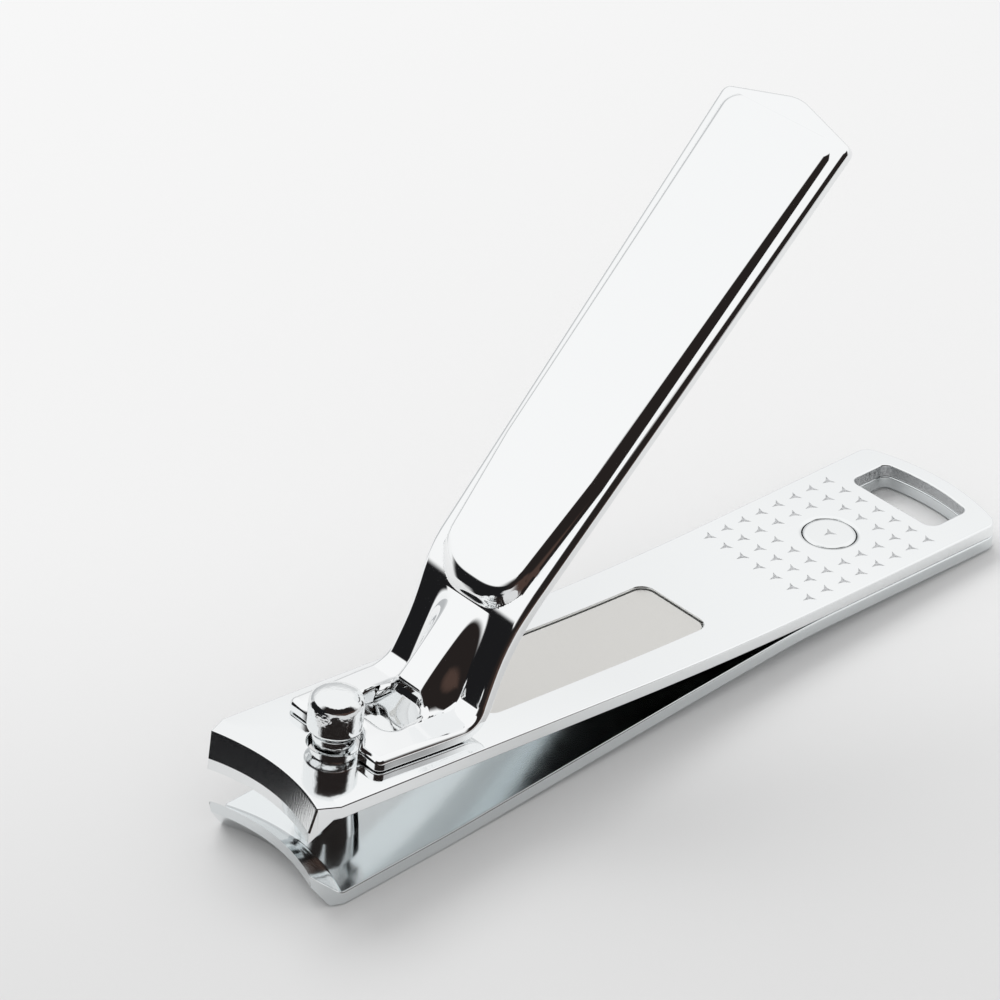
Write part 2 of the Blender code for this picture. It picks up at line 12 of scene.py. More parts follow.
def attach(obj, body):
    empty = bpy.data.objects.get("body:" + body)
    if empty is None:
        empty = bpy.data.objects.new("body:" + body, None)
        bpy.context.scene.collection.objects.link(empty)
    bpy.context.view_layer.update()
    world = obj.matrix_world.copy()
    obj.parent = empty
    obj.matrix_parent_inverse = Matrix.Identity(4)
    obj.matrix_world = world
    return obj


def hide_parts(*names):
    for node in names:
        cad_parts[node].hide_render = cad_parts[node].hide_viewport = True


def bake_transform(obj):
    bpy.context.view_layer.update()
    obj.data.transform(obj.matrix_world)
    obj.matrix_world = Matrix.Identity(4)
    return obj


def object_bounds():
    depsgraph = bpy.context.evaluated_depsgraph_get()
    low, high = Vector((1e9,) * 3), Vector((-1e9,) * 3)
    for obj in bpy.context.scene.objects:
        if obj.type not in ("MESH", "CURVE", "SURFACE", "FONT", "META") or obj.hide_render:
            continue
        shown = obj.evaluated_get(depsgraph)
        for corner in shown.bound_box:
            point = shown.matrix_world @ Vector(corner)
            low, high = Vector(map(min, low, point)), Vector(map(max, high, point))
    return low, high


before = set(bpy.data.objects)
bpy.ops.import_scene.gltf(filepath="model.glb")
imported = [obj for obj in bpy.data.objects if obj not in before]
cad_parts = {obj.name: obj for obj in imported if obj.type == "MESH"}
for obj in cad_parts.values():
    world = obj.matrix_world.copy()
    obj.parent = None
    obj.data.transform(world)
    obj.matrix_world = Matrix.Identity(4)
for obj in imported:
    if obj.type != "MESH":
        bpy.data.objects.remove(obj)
cad_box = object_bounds()

MM = 0.001

# Arms, seen from above, as the solids have them
FRONT = cad_box[0].x
REAR = cad_box[1].x
LENGTH = REAR - FRONT
SHEET = 1.25 * MM
JAW_HALF_WIDTH = 6.44 * MM
JAW_CORNER_CUT = 2.5 * MM
JAW_HOLLOW = 1.15 * MM
FRONT_HALF_WIDTH = 7.6 * MM
MIDDLE_HALF_WIDTH = 7.8 * MM
REAR_HALF_WIDTH = 8.25 * MM
TAIL_RADIUS = 21.5 * MM
TAIL_CORNER = 1.5 * MM
SLOT_RIM = 1.6 * MM
SLOT_FROM_REAR = 6.9 * MM
SLOT_HALF_WIDTH = 5.1 * MM
SLOT_CORNER = 1.0 * MM
RIVET_FROM_REAR = 14.8 * MM
RIVET_RADIUS = 2.4 * MM
RIVET_CLEARANCE = 0.1 * MM

# Arms, seen from the side
SEAM_GAP = 0.05 * MM
ARCH_RISE = 1.37 * MM
LOWER_BEND_FROM_REAR = 26.0 * MM
LOWER_BEND_REACH = 3.6 * MM
UPPER_BEND_FROM_REAR = 34.1 * MM
UPPER_BEND_REACH = 11.7 * MM
FLAT_LENGTH = 14.0 * MM
FLAT_BEND_REACH = 2.0 * MM
UPPER_FRONT_HEIGHT = 9.05 * MM
LOWER_EDGE_HEIGHT = 3.47 * MM
JAW_OPENING = 3.3 * MM
LAND_HEIGHT = 1.1 * MM
LIP_INNER_TILT = math.radians(41)
UPPER_LIP_TILT = math.radians(71)
LOWER_LIP_TILT = math.radians(55)
LIP_EASE = 0.22 * MM
LIP_LINES = (-0.5, -0.25, 0, 0.25, 0.5, 1)

# Satin plate and its pocket
FLEX_FROM_REAR = 29.1 * MM
INLAY_FROM_FRONT = 20.9 * MM
INLAY_FROM_FLEX = 4.5 * MM
INLAY_HALF_WIDTH = 4.2 * MM
INLAY_CORNER = 1.4 * MM
INLAY_THICKNESS = 0.3 * MM
INLAY_CLEARANCE = 0.08 * MM
POCKET_DEPTH = 0.6 * MM
POCKET_WALL = 0.12 * MM

# Pin and the lower arm's boss
PIN_FROM_FRONT = 7.9 * MM
SHANK_RADIUS = 1.5 * MM
HEAD_OVERHANG = 0.8 * MM
NECK_COLLAR = 0.3 * MM
NECK_SUNK = 0.3 * MM
HEAD_FROM_ARM = 1.0 * MM
HEAD_TAPER = 0.5 * MM
HEAD_WALL = 2.2 * MM
HEAD_DOME = 1.3 * MM
DOME_FLATNESS = 0.85
FLANGE_RIM = 0.45 * MM
FLANGE_THICKNESS = 0.6 * MM
PIN_TABLE_GAP = 0.15 * MM
TURNED_EDGE = 0.18 * MM
UPPER_HOLE_CLEARANCE = 0.65 * MM
LOWER_HOLE_CLEARANCE = 0.4 * MM
RECESS_DEPTH = 1.75 * MM
RECESS_CLEARANCE = 0.3 * MM
RECESS_WALL = 0.03 * MM
BOSS_HEIGHT = 2.6 * MM
BOSS_WALL = 0.35 * MM
BOSS_DRAFT = 0.03 * MM
BOSS_EDGE = 0.2 * MM

# Lever
LEVER_SHEET = 1.15 * MM
FOOT_GAP = 0.1 * MM
PRONG_OVERHANG = 0.2 * MM
FOOT_REACH = 10.9 * MM
HEEL_RADIUS = 3.2 * MM
RISE_LENGTH = 11.0 * MM
RISE_TURN = math.radians(67.5)
KNEE_RADIUS = 12.0 * MM
HANDLE_LENGTH = 47.3 * MM
HANDLE_TURN = math.radians(18)
FOOT_HALF_WIDTH = 5.8 * MM
HEEL_HALF_WIDTH = 6.1 * MM
WAIST_HALF_WIDTH = 5.7 * MM
KNEE_HALF_WIDTH = 6.3 * MM
TIP_HALF_WIDTH = 7.3 * MM
TIP_ROOF = 1.9 * MM
TIP_CORNER = 0.9 * MM
TIP_APEX = 4.5 * MM
PRONG_CORNER = 0.7 * MM
NOTCH_CLEARANCE = 0.65 * MM
NOTCH_FLARE = math.radians(45)
WINDOW_FROM_PIN = 3.4 * MM
WINDOW_LENGTH = 4.2 * MM
WINDOW_HALF_WIDTH = 2.7 * MM
WINDOW_CORNER = 1.0 * MM
PAD_RAISE = 1.05 * MM
PAD_WALL = 0.8 * MM
PAD_LOW_WALL = 2.2 * MM
PAD_LOW_BOW = 2.4 * MM
PAD_LOW_POWER = 3
PAD_TIP_SHARE = 0.45
PAD_FROM_KNEE = 0.1 * MM
PAD_MARGIN_LOW = 1.3 * MM
PAD_MARGIN = 0.75 * MM
PAD_MARGIN_TIP = 1.0 * MM
PAD_TAPER = 13.0 * MM
PAD_FROM_ROOF = 0.1 * MM
PAD_CORNER = 1.6 * MM
RIB_HALF_WIDTH = 1.2 * MM
RIB_WALL = 2.1 * MM
RIB_FRONT_RAISE = 1.35 * MM

# Grip pattern of dents on the tail
DENT_COLUMNS = 8
DENT_ROWS = 7
DENT_PITCH_X = 2.15 * MM
DENT_PITCH_Y = 2.08 * MM
DENTS_FROM_REAR = 23.7 * MM
DENT_ARMS = 3
DENT_ARM = 0.72 * MM
DENT_WAIST = 0.2 * MM
DENT_DEPTH = 0.16 * MM
DENT_RIM = 0.05 * MM

# Rolled edges of the sheets: width and drop at the top, then underneath
ARM_EDGE = ((0.16 * MM, 0.16 * MM), (0.12 * MM, 0.12 * MM))
HOLE_EDGE = ((0.15 * MM, 0.15 * MM), (0.12 * MM, 0.12 * MM))
LEVER_EDGE = ((0.6 * MM, 0.5 * MM), (0.2 * MM, 0.16 * MM))
INLAY_EDGE = ((0.06 * MM, 0.06 * MM), (0.06 * MM, 0.06 * MM))
RIVET_EDGE = ((0.35 * MM, 0.2 * MM), (0.35 * MM, 0.2 * MM))
GROUND_EDGE = None

# Fineness of the meshes
EDGE_STEPS = 6
ARC_STEPS = 14
BOW_STEPS = 28
DOME_STEPS = 28
CIRCLE_STEPS = 72
JAW_STEPS = 40
BEND_STEPS = 16
SIDE_STEPS = 64
RIB_STEPS = 64
PAD_STEPS = 48
LOW_END_STEPS = 12
LENGTHWISE_STEPS = 36
WALL_STEPS = 6
TURN_STEPS = 96
NUDGE = 0.004 * MM
CREASE_GAP = 2 * NUDGE
SAME_SPOT = 1e-7
WELD = 1e-6
PAST_EDGES = LENGTH / 4

# Places of the finishes among a piece's materials
POLISHED = 0
ROUGH_WITH_DENT_SHADE = 1
GROUND = 2

# Colour and roughness of the finishes
# The lower arm's chrome is a darker, bluer copy of the upper arm's: painted shade for its face under the
# upper arm.
LOWER_SHADED_COLOUR = (0.8, 0.83, 0.84)
LOWER_ROUGHNESS = 0.1
UPPER_COLOUR = (0.9, 0.915, 0.92)
UPPER_ROUGHNESS = 0.06
RIVET_COLOUR = (0.88, 0.895, 0.9)
RIVET_ROUGHNESS = 0.07
PIN_COLOUR = (0.86, 0.875, 0.88)
PIN_ROUGHNESS = 0.07
LEVER_COLOUR = (0.915, 0.925, 0.93)
LEVER_ROUGHNESS = 0.04
SATIN_COLOUR = (0.75, 0.74, 0.715)
SATIN_ROUGHNESS = (0.34, 0.5)
# Darker steel as the punch leaves it: the slot walls' own dull tone, and painted shade in the dents.
PUNCHED_AND_DENT_SHADE_COLOUR = (0.62, 0.63, 0.64)
PUNCHED_ROUGHNESS = 0.32
GROUND_ROUGHNESS = 0.2

# Textures of the finishes, with their scales per metre
FINE_RELIEF = 0.02 * MM
HAZE_SCALE = 400
HAZE_DETAIL = 6
HAZE_LEAST = 0.6
HAZE_MOST = 1.6
WAVE_DETAIL = 1
SHEET_WAVE_SCALE = 260
SHEET_WAVINESS = 0.12
PIN_WAVE_SCALE = 2600
PIN_WAVINESS = 0.9
TEAR_SCALE = 3500
TEAR_DETAIL = 4
TEAR_STRENGTH = 0.8
TEAR_RELIEF = 0.2 * MM
RIPPLE_SCALE = 900
RIPPLE_DISTORTION = 9
RIPPLE_DETAIL = 5
RIPPLE_STRENGTH = 0.16
GRAIN_SCALE = 6000
GRAIN_DETAIL = 3
GRAIN_STRENGTH = 0.25

# Studio
FLOOR_GAP = 0.1 * MM
FLOOR_REACH = 3
# The floor's grey is painted shade: lit far off, darker towards the camera.
FLOOR_LIT_GREY = 0.82
FLOOR_PAINTED_SHADE_GREY = 0.71
FLOOR_SHADE_START = -0.03
FLOOR_SHADE_END = 0.06
FLOOR_ROUGHNESS = 0.9
CARD_COLOUR = (0.012, 0.012, 0.013)
CARD_FADE = 0.12
HORIZON_COLOUR = (0.5, 0.51, 0.52)
HORIZON_FADE = 0.8
ROOM_COLOUR = (0.02, 0.016, 0.015)
ROOM_FADE = 0.14
WALL_FOOT_COLOUR = (0.075, 0.047, 0.038)
WALL_FOOT_FADE = 0.3
WORLD_LIGHT = 0.8
LAMP_WIDTH = 0.9
LAMP_DEPTH = 0.5
LAMP_POWER = 4
LAMP_PLACE = (0.1, 0.6, 0.8)

# Camera of the photograph
CAMERA_AZIMUTH = math.radians(-41.5)
CAMERA_ELEVATION = math.radians(34.42)
CAMERA_EYE = Vector((-191.25, -200.2, 207.9)) * MM
CAMERA_LENS = 144
CAMERA_SENSOR = 36
CAMERA_CLIP = 0.01
TOWARDS_CAMERA = (math.sin(CAMERA_AZIMUTH), -math.cos(CAMERA_AZIMUTH))

# Places, heights and radii that follow from these sizes
RIVET_X = REAR - RIVET_FROM_REAR
FLEX = REAR - FLEX_FROM_REAR
INLAY_START = FRONT + INLAY_FROM_FRONT
INLAY_END = FLEX - INLAY_FROM_FLEX
UPPER_EDGE_HEIGHT = LOWER_EDGE_HEIGHT + JAW_OPENING
PIN_X = FRONT + PIN_FROM_FRONT
HEAD_RADIUS = SHANK_RADIUS + HEAD_OVERHANG
NECK_RADIUS = SHANK_RADIUS + NECK_COLLAR
FLANGE_RADIUS = SHANK_RADIUS + FLANGE_RIM
UPPER_HOLE_RADIUS = SHANK_RADIUS + UPPER_HOLE_CLEARANCE
LOWER_HOLE_RADIUS = SHANK_RADIUS + LOWER_HOLE_CLEARANCE
RECESS_RADIUS = FLANGE_RADIUS + RECESS_CLEARANCE
BOSS_RADIUS = RECESS_RADIUS + RECESS_WALL + BOSS_WALL
NOTCH_RADIUS = SHANK_RADIUS + NOTCH_CLEARANCE
DENT_START_X = REAR - DENTS_FROM_REAR


def even_steps(length, steps):
    return [length * i / steps for i in range(steps + 1)]


def arc(centre, radius, start, end, steps=ARC_STEPS):
    angles = [start + turn for turn in even_steps(end - start, steps)]
    return [(centre[0] + radius * math.cos(a), centre[1] + radius * math.sin(a)) for a in angles]


def circle(centre, radius):
    return arc(centre, radius, 0, 2 * math.pi, CIRCLE_STEPS)[:-1]


def rectangle(start, end, half_width):
    return [(start, -half_width), (end, -half_width), (end, half_width), (start, half_width)]


def corner_sides(corners):
    """Each corner of a closed outline, the directions to its neighbours and half the angle between them."""
    for i, corner in enumerate(corners):
        here = Vector(corner)
        before = (Vector(corners[i - 1]) - here).normalized()
        after = (Vector(corners[(i + 1) % len(corners)]) - here).normalized()
        yield here, before, after, before.angle(after) / 2


def arc_middle(here, before, after, half, radius):
    """Centre of the arc that rounds a corner."""
    return here + (before + after).normalized() * radius / math.sin(half)


def rounded(corners, radii):
    """A closed outline with each corner rounded by its own radius."""
    outline = []
    for side, radius in zip(corner_sides(corners), radii):
        here, before, after, half = side
        middle = arc_middle(*side, radius)
        start = here + before * radius / math.tan(half) - middle
        sweep = math.pi - 2 * half
        if before.cross(after) > 0:
            sweep = -sweep
        first = math.atan2(start.y, start.x)
        outline += arc(middle, radius, first, first + sweep)
    return outline


def evenly_rounded(corners, radius):
    return rounded(corners, [radius] * len(corners))


def tail_end(half_width, radius, corner, centre_x):
    """Outline of a bowed end, from +Y to -Y: a corner, the bow and a corner, each tangent to the next."""
    turn = math.asin((half_width - corner) / (radius - corner))
    corner_x = centre_x + (radius - corner) * math.cos(turn)
    corner_y = half_width - corner
    first = arc((corner_x, corner_y), corner, math.pi / 2, turn)
    bow = arc((centre_x, 0), radius, turn, -turn, BOW_STEPS)
    last = arc((corner_x, -corner_y), corner, -turn, -math.pi / 2)
    return first + bow[1:-1] + last


def closed(line):
    return line + line[:1]


def turned_left(loop):
    """The loop with its inside on the left."""
    ends = list(zip(loop, loop[1:] + loop[:1]))
    area = sum(ax * by - bx * ay for (ax, ay), (bx, by) in ends)
    return loop if area > 0 else loop[::-1]


def unit(vectors):
    return vectors / np.linalg.norm(vectors, axis=1)[:, None]


def side_normals(line):
    """Unit vectors to the right of a line at its points, averaged over the two sides that meet there."""
    points = np.array(line)
    sides = unit(np.diff(points, axis=0))
    right = np.stack([sides[:, 1], -sides[:, 0]], axis=1)
    before = np.vstack([right[:1], right])
    after = np.vstack([right, right[-1:]])
    if np.allclose(points[0], points[-1]):
        before[0] = right[-1]
        after[-1] = right[0]
    return unit(before + after)


def offset(line, distance):
    """The line moved to its left."""
    points = np.array(line)
    return [tuple(p) for p in points - side_normals(line) * distance]


def nearest(points, line):
    """Distance of each point from a line, and the line's right-hand direction at the nearest place."""
    ends = np.array(line)
    normals = side_normals(line)
    best = np.full(len(points), np.inf)
    out = np.zeros((len(points), 2))
    for i in range(len(ends) - 1):
        side = ends[i + 1] - ends[i]
        along = np.clip((points - ends[i]) @ side / (side @ side), 0, 1)
        away = np.linalg.norm(points - ends[i] - along[:, None] * side, axis=1)
        closer = away < best
        best[closer] = away[closer]
        out[closer] = unit(normals[i] + along[closer, None] * (normals[i + 1] - normals[i]))
    return best, out


def inside(points, loop):
    """Which of the points lie inside a loop."""
    found = np.zeros(len(points), bool)
    ends = np.array(loop)
    for a, b in zip(ends, np.roll(ends, -1, axis=0)):
        crosses = (a[1] > points[:, 1]) != (b[1] > points[:, 1])
        height = b[1] - a[1] if b[1] != a[1] else 1
        found ^= crosses & (points[:, 0] < a[0] + (points[:, 1] - a[1]) * (b[0] - a[0]) / height)
    return found


def rounded_inset(u, v, corners, radius):
    """How far points lie inside an outline with rounded corners, capped at the corners' radius."""
    points = np.stack([u, v], axis=1)
    inner = [tuple(arc_middle(*side, radius)) for side in corner_sides(corners)]
    away = nearest(points, closed(inner))[0]
    away[inside(points, inner)] = 0
    return radius - away


def plan_mesh(loops, lines):
    """Triangles over a flat outline with holes, with the lines drawn into them."""
    points = []
    edges = []
    for line in [closed(loop) for loop in loops] + lines:
        edges += [(len(points) + i, len(points) + i + 1) for i in range(len(line) - 1)]
        points += [Vector(p) for p in line]
    flat, _, faces, _, _, _ = delaunay_2d_cdt(points, edges, [], 0, SAME_SPOT)
    flat = np.array(flat)
    faces = np.array(faces)
    middles = flat[faces].mean(axis=1)
    kept = inside(middles, loops[0])
    for hole in loops[1:]:
        kept &= ~inside(middles, hole)
    used, faces = np.unique(faces[kept], return_inverse=True)
    return flat[used], faces.reshape(-1, 3)


def boundary(faces):
    """Edges of the plan that belong to one triangle, in the triangle's own direction."""
    ends = np.concatenate([faces[:, [0, 1]], faces[:, [1, 2]], faces[:, [2, 0]]]).tolist()
    seen = {(a, b) for a, b in ends}
    return [(a, b) for a, b in ends if (b, a) not in seen]


def face_points(flat, surface, on_top, edges):
    """Points and normals of one face of a sheet, with its edges rolled over by quarter ellipses, and the
    directions that the walls beside it face."""
    u, v = flat.T

    def moved(along_u, along_v):
        return np.stack(surface(u + along_u, v + along_v, on_top), axis=1)

    spots = moved(0, 0)
    along = unit(moved(NUDGE, 0) - moved(-NUDGE, 0))
    across = unit(moved(0, NUDGE) - moved(0, -NUDGE))
    normals = unit(np.cross(along, across)) * (1 if on_top else -1)
    walls = np.zeros_like(spots)
    closest = np.full(len(flat), np.inf)
    for edge, roll in edges:
        gap, out = nearest(flat, edge)
        away = unit(along * out[:, :1] + across * out[:, 1:])
        near = gap < closest
        closest[near] = gap[near]
        walls[near] = away[near]
        if roll:
            width, drop = roll[0 if on_top else 1]
            lean = np.clip(1 - gap / width, 0, 1)
            rise = np.sqrt(1 - lean ** 2)
            spots -= normals * (drop * (1 - rise))[:, None]
            normals = unit(normals * (width * rise)[:, None] + away * (drop * lean)[:, None])
    return spots, normals, walls


def sheet_mesh(name, flat, faces, rim, surface, edges):
    """Top, underside and walls of a sheet, with the normals that its surface gives."""
    top, top_normals, walls = face_points(flat, surface, True, edges)
    under, under_normals, _ = face_points(flat, surface, False, edges)
    through = unit(top - under)
    walls = unit(walls - through * np.sum(walls * through, axis=1)[:, None])
    count = len(flat)
    polygons = [tuple(f) for f in faces.tolist()]
    polygons += [tuple(i + count for i in f[::-1]) for f in faces.tolist()]
    polygons += [(b, a, a + count, b + count) for a, b in rim]
    normals = [top_normals[i] for f in faces for i in f]
    normals += [under_normals[i] for f in faces for i in f[::-1]]
    normals += [walls[i] for a, b in rim for i in (b, a, a, b)]
    mesh = bpy.data.meshes.new(name)
    mesh.from_pydata(np.vstack([top, under]).tolist(), [], polygons)
    mesh.shade_smooth()
    mesh.normals_split_custom_set([n.tolist() for n in normals])
    return mesh


def roll_lines(edges):
    """Lines along each edge, closer together towards it, for its roll to follow."""
    turns = even_steps(math.pi / 2, EDGE_STEPS)[1:]
    return [offset(edge, width * (1 - math.cos(turn)))
            for edge, roll in edges for width in {side[0] for side in roll or ()} for turn in turns]


def sheet(name, loops, lines, surface, finish=None):
    """A smooth solid sheet over a flat outline. Each loop comes with the roll of its edge, and the first is
    the outside. The surface gives each point's place on the two faces. The finish gives the number of the
    material of each face of the top and of the walls."""
    outlines = [turned_left(loops[0][0])] + [turned_left(hole)[::-1] for hole, _ in loops[1:]]
    edges = []
    for outline, (_, roll) in zip(outlines, loops):
        edges += split_edges(outline, roll)
    flat, faces = plan_mesh(outlines, lines + roll_lines(edges))
    rim = boundary(faces)
    mesh = sheet_mesh(name, flat, faces, rim, surface, edges)
    if finish:
        marks = np.zeros(len(mesh.polygons), int)
        marks[:len(faces)] = finish(*flat[faces].mean(axis=1).T, False)
        marks[2 * len(faces):] = finish(*flat[np.array(rim)].mean(axis=1).T, True)
        mesh.polygons.foreach_set("material_index", marks)
    return linked(name, mesh)


def split_edges(loop, roll):
    """A loop as the lines of its edge, each with its roll. The ground front of a jaw stays sharp."""
    ground_points = [on_jaw(p) for p in loop]
    if not any(ground_points):
        return [(closed(loop), roll)]
    first = next(i for i in range(len(loop)) if ground_points[i - 1] and not ground_points[i])
    turned_loop = loop[first - 1:] + loop[:first]
    last = max(i for i, p in enumerate(turned_loop[1:], 1) if not on_jaw(p)) + 1
    return [(lengthened(turned_loop[:last + 1]), roll), (turned_loop[last:], GROUND_EDGE)]


def lengthened(line):
    """The line with its two ends carried on straight, so that its roll runs out past the outline."""
    first = Vector(line[0]) * 2 - Vector(line[1])
    last = Vector(line[-1]) * 2 - Vector(line[-2])
    return [tuple(first)] + line + [tuple(last)]


def linked(name, data):
    piece = bpy.data.objects.new(name, data)
    bpy.context.scene.collection.objects.link(piece)
    return piece


def turned(name, profile):
    """A solid of revolution about Z from a profile of (radius, height) points that starts and ends on it."""
    bm = bmesh.new()
    verts = [bm.verts.new((r, 0, z)) for r, z in profile]
    edges = [bm.edges.new(pair) for pair in zip(verts, verts[1:])]
    bmesh.ops.spin(bm, geom=verts + edges, axis=(0, 0, 1), cent=(0, 0, 0), angle=2 * math.pi,
                   steps=TURN_STEPS, use_duplicate=False)
    bmesh.ops.remove_doubles(bm, verts=bm.verts, dist=WELD)
    bmesh.ops.recalc_face_normals(bm, faces=bm.faces)
    mesh = bpy.data.meshes.new(name)
    bm.to_mesh(mesh)
    bm.free()
    mesh.shade_smooth()
    piece = linked(name, mesh)
    weighted = piece.modifiers.new("even_normals", "WEIGHTED_NORMAL")
    weighted.mode = "FACE_AREA"
    return piece


def eased_min(a, b, ease):
    return np.minimum(a, b) - np.clip(ease - np.abs(a - b), 0, None) ** 2 / (4 * ease)


def eased_max(a, b, ease):
    return -eased_min(-a, -b, ease)


def step_up(t):
    """A rise from 0 to 1 that starts and ends level."""
    t = np.clip(t, 0, 1)
    return t * t * (3 - 2 * t)


def eased_up(t):
    """A rise from 0 to 1 that starts steep and ends level."""
    return 1 - (1 - np.clip(t, 0, 1)) ** 2


def ramp(away, start, run):
    """One up to the start, falling straight to nothing over the run."""
    return np.clip(1 - (away - start) / run, 0, 1)


def bent_line(corners, reaches):
    """Height along x of straight runs joined by eased bends. Corners run from the rear to the front."""
    slopes = [(z - next_z) / (x - next_x) for (x, z), (next_x, next_z) in zip(corners, corners[1:])]

    def height(x):
        z = corners[0][1] + slopes[0] * (x - corners[0][0])
        for (corner_x, _), reach, before, after in zip(corners[1:-1], reaches, slopes, slopes[1:]):
            past = np.clip(corner_x + reach - x, 0, None)
            bend = np.minimum(past, 2 * reach) ** 2 / (4 * reach) + np.clip(past - 2 * reach, 0, None)
            z = z + (before - after) * bend
        return z

    return height


SEAM_SLOPE = ARCH_RISE / LOWER_BEND_FROM_REAR
UPPER_BEND_HEIGHT = SHEET + SEAM_GAP + SEAM_SLOPE * UPPER_BEND_FROM_REAR
ARM_SLOPE = (UPPER_FRONT_HEIGHT - UPPER_BEND_HEIGHT) / (LENGTH - UPPER_BEND_FROM_REAR)
lower_inner = bent_line([(REAR, SHEET), (REAR - LOWER_BEND_FROM_REAR, SHEET + ARCH_RISE),
                         (FRONT + FLAT_LENGTH, SHEET), (FRONT, SHEET)], [LOWER_BEND_REACH, FLAT_BEND_REACH])
upper_inner = bent_line([(REAR, SHEET + SEAM_GAP), (REAR - UPPER_BEND_FROM_REAR, UPPER_BEND_HEIGHT),
                         (FRONT, UPPER_FRONT_HEIGHT)], [UPPER_BEND_REACH])
PIN_LEAN = math.atan(ARM_SLOPE)
PIN_SEAT = Vector((PIN_X, 0, upper_inner(PIN_X) + SHEET))
PIN_FRAME = Matrix.Translation(PIN_SEAT) @ Matrix.Rotation(PIN_LEAN, 4, "Y")
BOSS_X = PIN_X - ARM_SLOPE * (PIN_SEAT.z - RECESS_DEPTH)
HINGE = Vector((0, 0, FOOT_GAP + LEVER_SHEET))


def hollow(y):
    """How far the jaw's edge is set back at y, measured from its two corners."""
    return JAW_HOLLOW * (1 - (y / JAW_HALF_WIDTH) ** 2)


def lip_line(land, tilt, x, y):
    """Height of a lip's sloping face, which leaves the jaw's edge at the height of the land."""
    return land + math.tan(tilt) * (x - FRONT - hollow(y))


def across_line(x):
    return [(x, -PAST_EDGES), (x, PAST_EDGES)]


def jaw_lines(place):
    """Lines across the arm that follow the hollow of the jaw, on both sides of a place behind its edge."""
    across = [FRONT_HALF_WIDTH * (t - 1) for t in even_steps(2, JAW_STEPS)]
    return [[(FRONT + place + LIP_EASE * share + hollow(y), y) for y in across] for share in LIP_LINES]


def bend_lines(corner_x, reach):
    return [across_line(corner_x - reach + along) for along in even_steps(2 * reach, BEND_STEPS)]


def ring_lines(centre, start, end):
    return [closed(circle(centre, start + wall)) for wall in even_steps(end - start, WALL_STEPS)]


def side_half_width(x):
    if x < 0:
        return MIDDLE_HALF_WIDTH + (FRONT_HALF_WIDTH - MIDDLE_HALF_WIDTH) * x / (FRONT + JAW_CORNER_CUT)
    return MIDDLE_HALF_WIDTH + (REAR_HALF_WIDTH - MIDDLE_HALF_WIDTH) * x / REAR


def arm_outline():
    across = [JAW_HALF_WIDTH * (1 - t) for t in even_steps(2, JAW_STEPS)]
    jaw = [(FRONT + hollow(y), y) for y in across]
    left = [(x, side_half_width(x)) for x in (0, FRONT + JAW_CORNER_CUT)]
    right = [(x, -y) for x, y in reversed(left)]
    tail = tail_end(REAR_HALF_WIDTH, TAIL_RADIUS, TAIL_CORNER, REAR - TAIL_RADIUS)
    return jaw + right + tail[::-1] + left


def on_jaw(point):
    """True on the ground front edge of an arm."""
    return abs(point[0] - FRONT - hollow(point[1])) < NUDGE and abs(point[1]) < JAW_HALF_WIDTH + NUDGE


def tail_holes():
    end = tail_end(SLOT_HALF_WIDTH, TAIL_RADIUS - SLOT_RIM, SLOT_CORNER, REAR - TAIL_RADIUS)
    slot_x = REAR - SLOT_FROM_REAR + SLOT_CORNER
    slot_y = SLOT_HALF_WIDTH - SLOT_CORNER
    front = arc((slot_x, -slot_y), SLOT_CORNER, -math.pi / 2, -math.pi)
    front += arc((slot_x, slot_y), SLOT_CORNER, math.pi, math.pi / 2)
    return [end + front, circle((RIVET_X, 0), RIVET_RADIUS + RIVET_CLEARANCE)]


def boss_height(away):
    """Height of the boss at a distance from its middle, with its top edge rounded."""
    lean = np.clip(1 - (BOSS_RADIUS - away) / BOSS_EDGE, 0, 1)
    top = BOSS_HEIGHT - BOSS_EDGE * (1 - np.sqrt(1 - lean ** 2))
    return top * ramp(away, BOSS_RADIUS, BOSS_DRAFT)


def lower_surface(x, y, on_top):
    away = np.hypot(x - BOSS_X, y)
    if on_top:
        lip = lip_line(LOWER_EDGE_HEIGHT, -LIP_INNER_TILT, x, y)
        return x, y, eased_max(lower_inner(x) + boss_height(away), lip, LIP_EASE)
    recess = RECESS_DEPTH * ramp(away, RECESS_RADIUS, RECESS_WALL)
    lip = lip_line(LOWER_EDGE_HEIGHT - LAND_HEIGHT, -LOWER_LIP_TILT, x, y)
    return x, y, eased_max(lower_inner(x) - SHEET + recess, lip, LIP_EASE)


def lower_arm():
    centre = (BOSS_X, 0)
    lines = jaw_lines((LOWER_EDGE_HEIGHT - SHEET) / math.tan(LIP_INNER_TILT))
    lines += jaw_lines((LOWER_EDGE_HEIGHT - LAND_HEIGHT) / math.tan(LOWER_LIP_TILT))
    lines += bend_lines(REAR - LOWER_BEND_FROM_REAR, LOWER_BEND_REACH)
    lines += bend_lines(FRONT + FLAT_LENGTH, FLAT_BEND_REACH)
    lines += ring_lines(centre, BOSS_RADIUS - BOSS_EDGE, BOSS_RADIUS)
    for start, wall in ((BOSS_RADIUS, BOSS_DRAFT), (RECESS_RADIUS, RECESS_WALL)):
        end = start + wall
        for radius in (start - CREASE_GAP, start, end, end + CREASE_GAP):
            lines.append(closed(circle(centre, radius)))
    outlines = [arm_outline()] + tail_holes() + [circle(centre, LOWER_HOLE_RADIUS)]
    loops = [(outline, ARM_EDGE) for outline in outlines]
    piece = sheet("lower_arm_steel", loops, lines, lower_surface)
    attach(piece, "lower_arm")
    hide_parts("lower_arm")
    return piece


def dent_centres():
    places = [(DENT_START_X + DENT_PITCH_X * i, DENT_PITCH_Y * (j - (DENT_ROWS - 1) / 2))
              for i in range(DENT_COLUMNS) for j in range(DENT_ROWS)]
    clear = RIVET_RADIUS + RIVET_CLEARANCE + DENT_ARM
    return [p for p in places if math.hypot(p[0] - RIVET_X, p[1]) > clear]


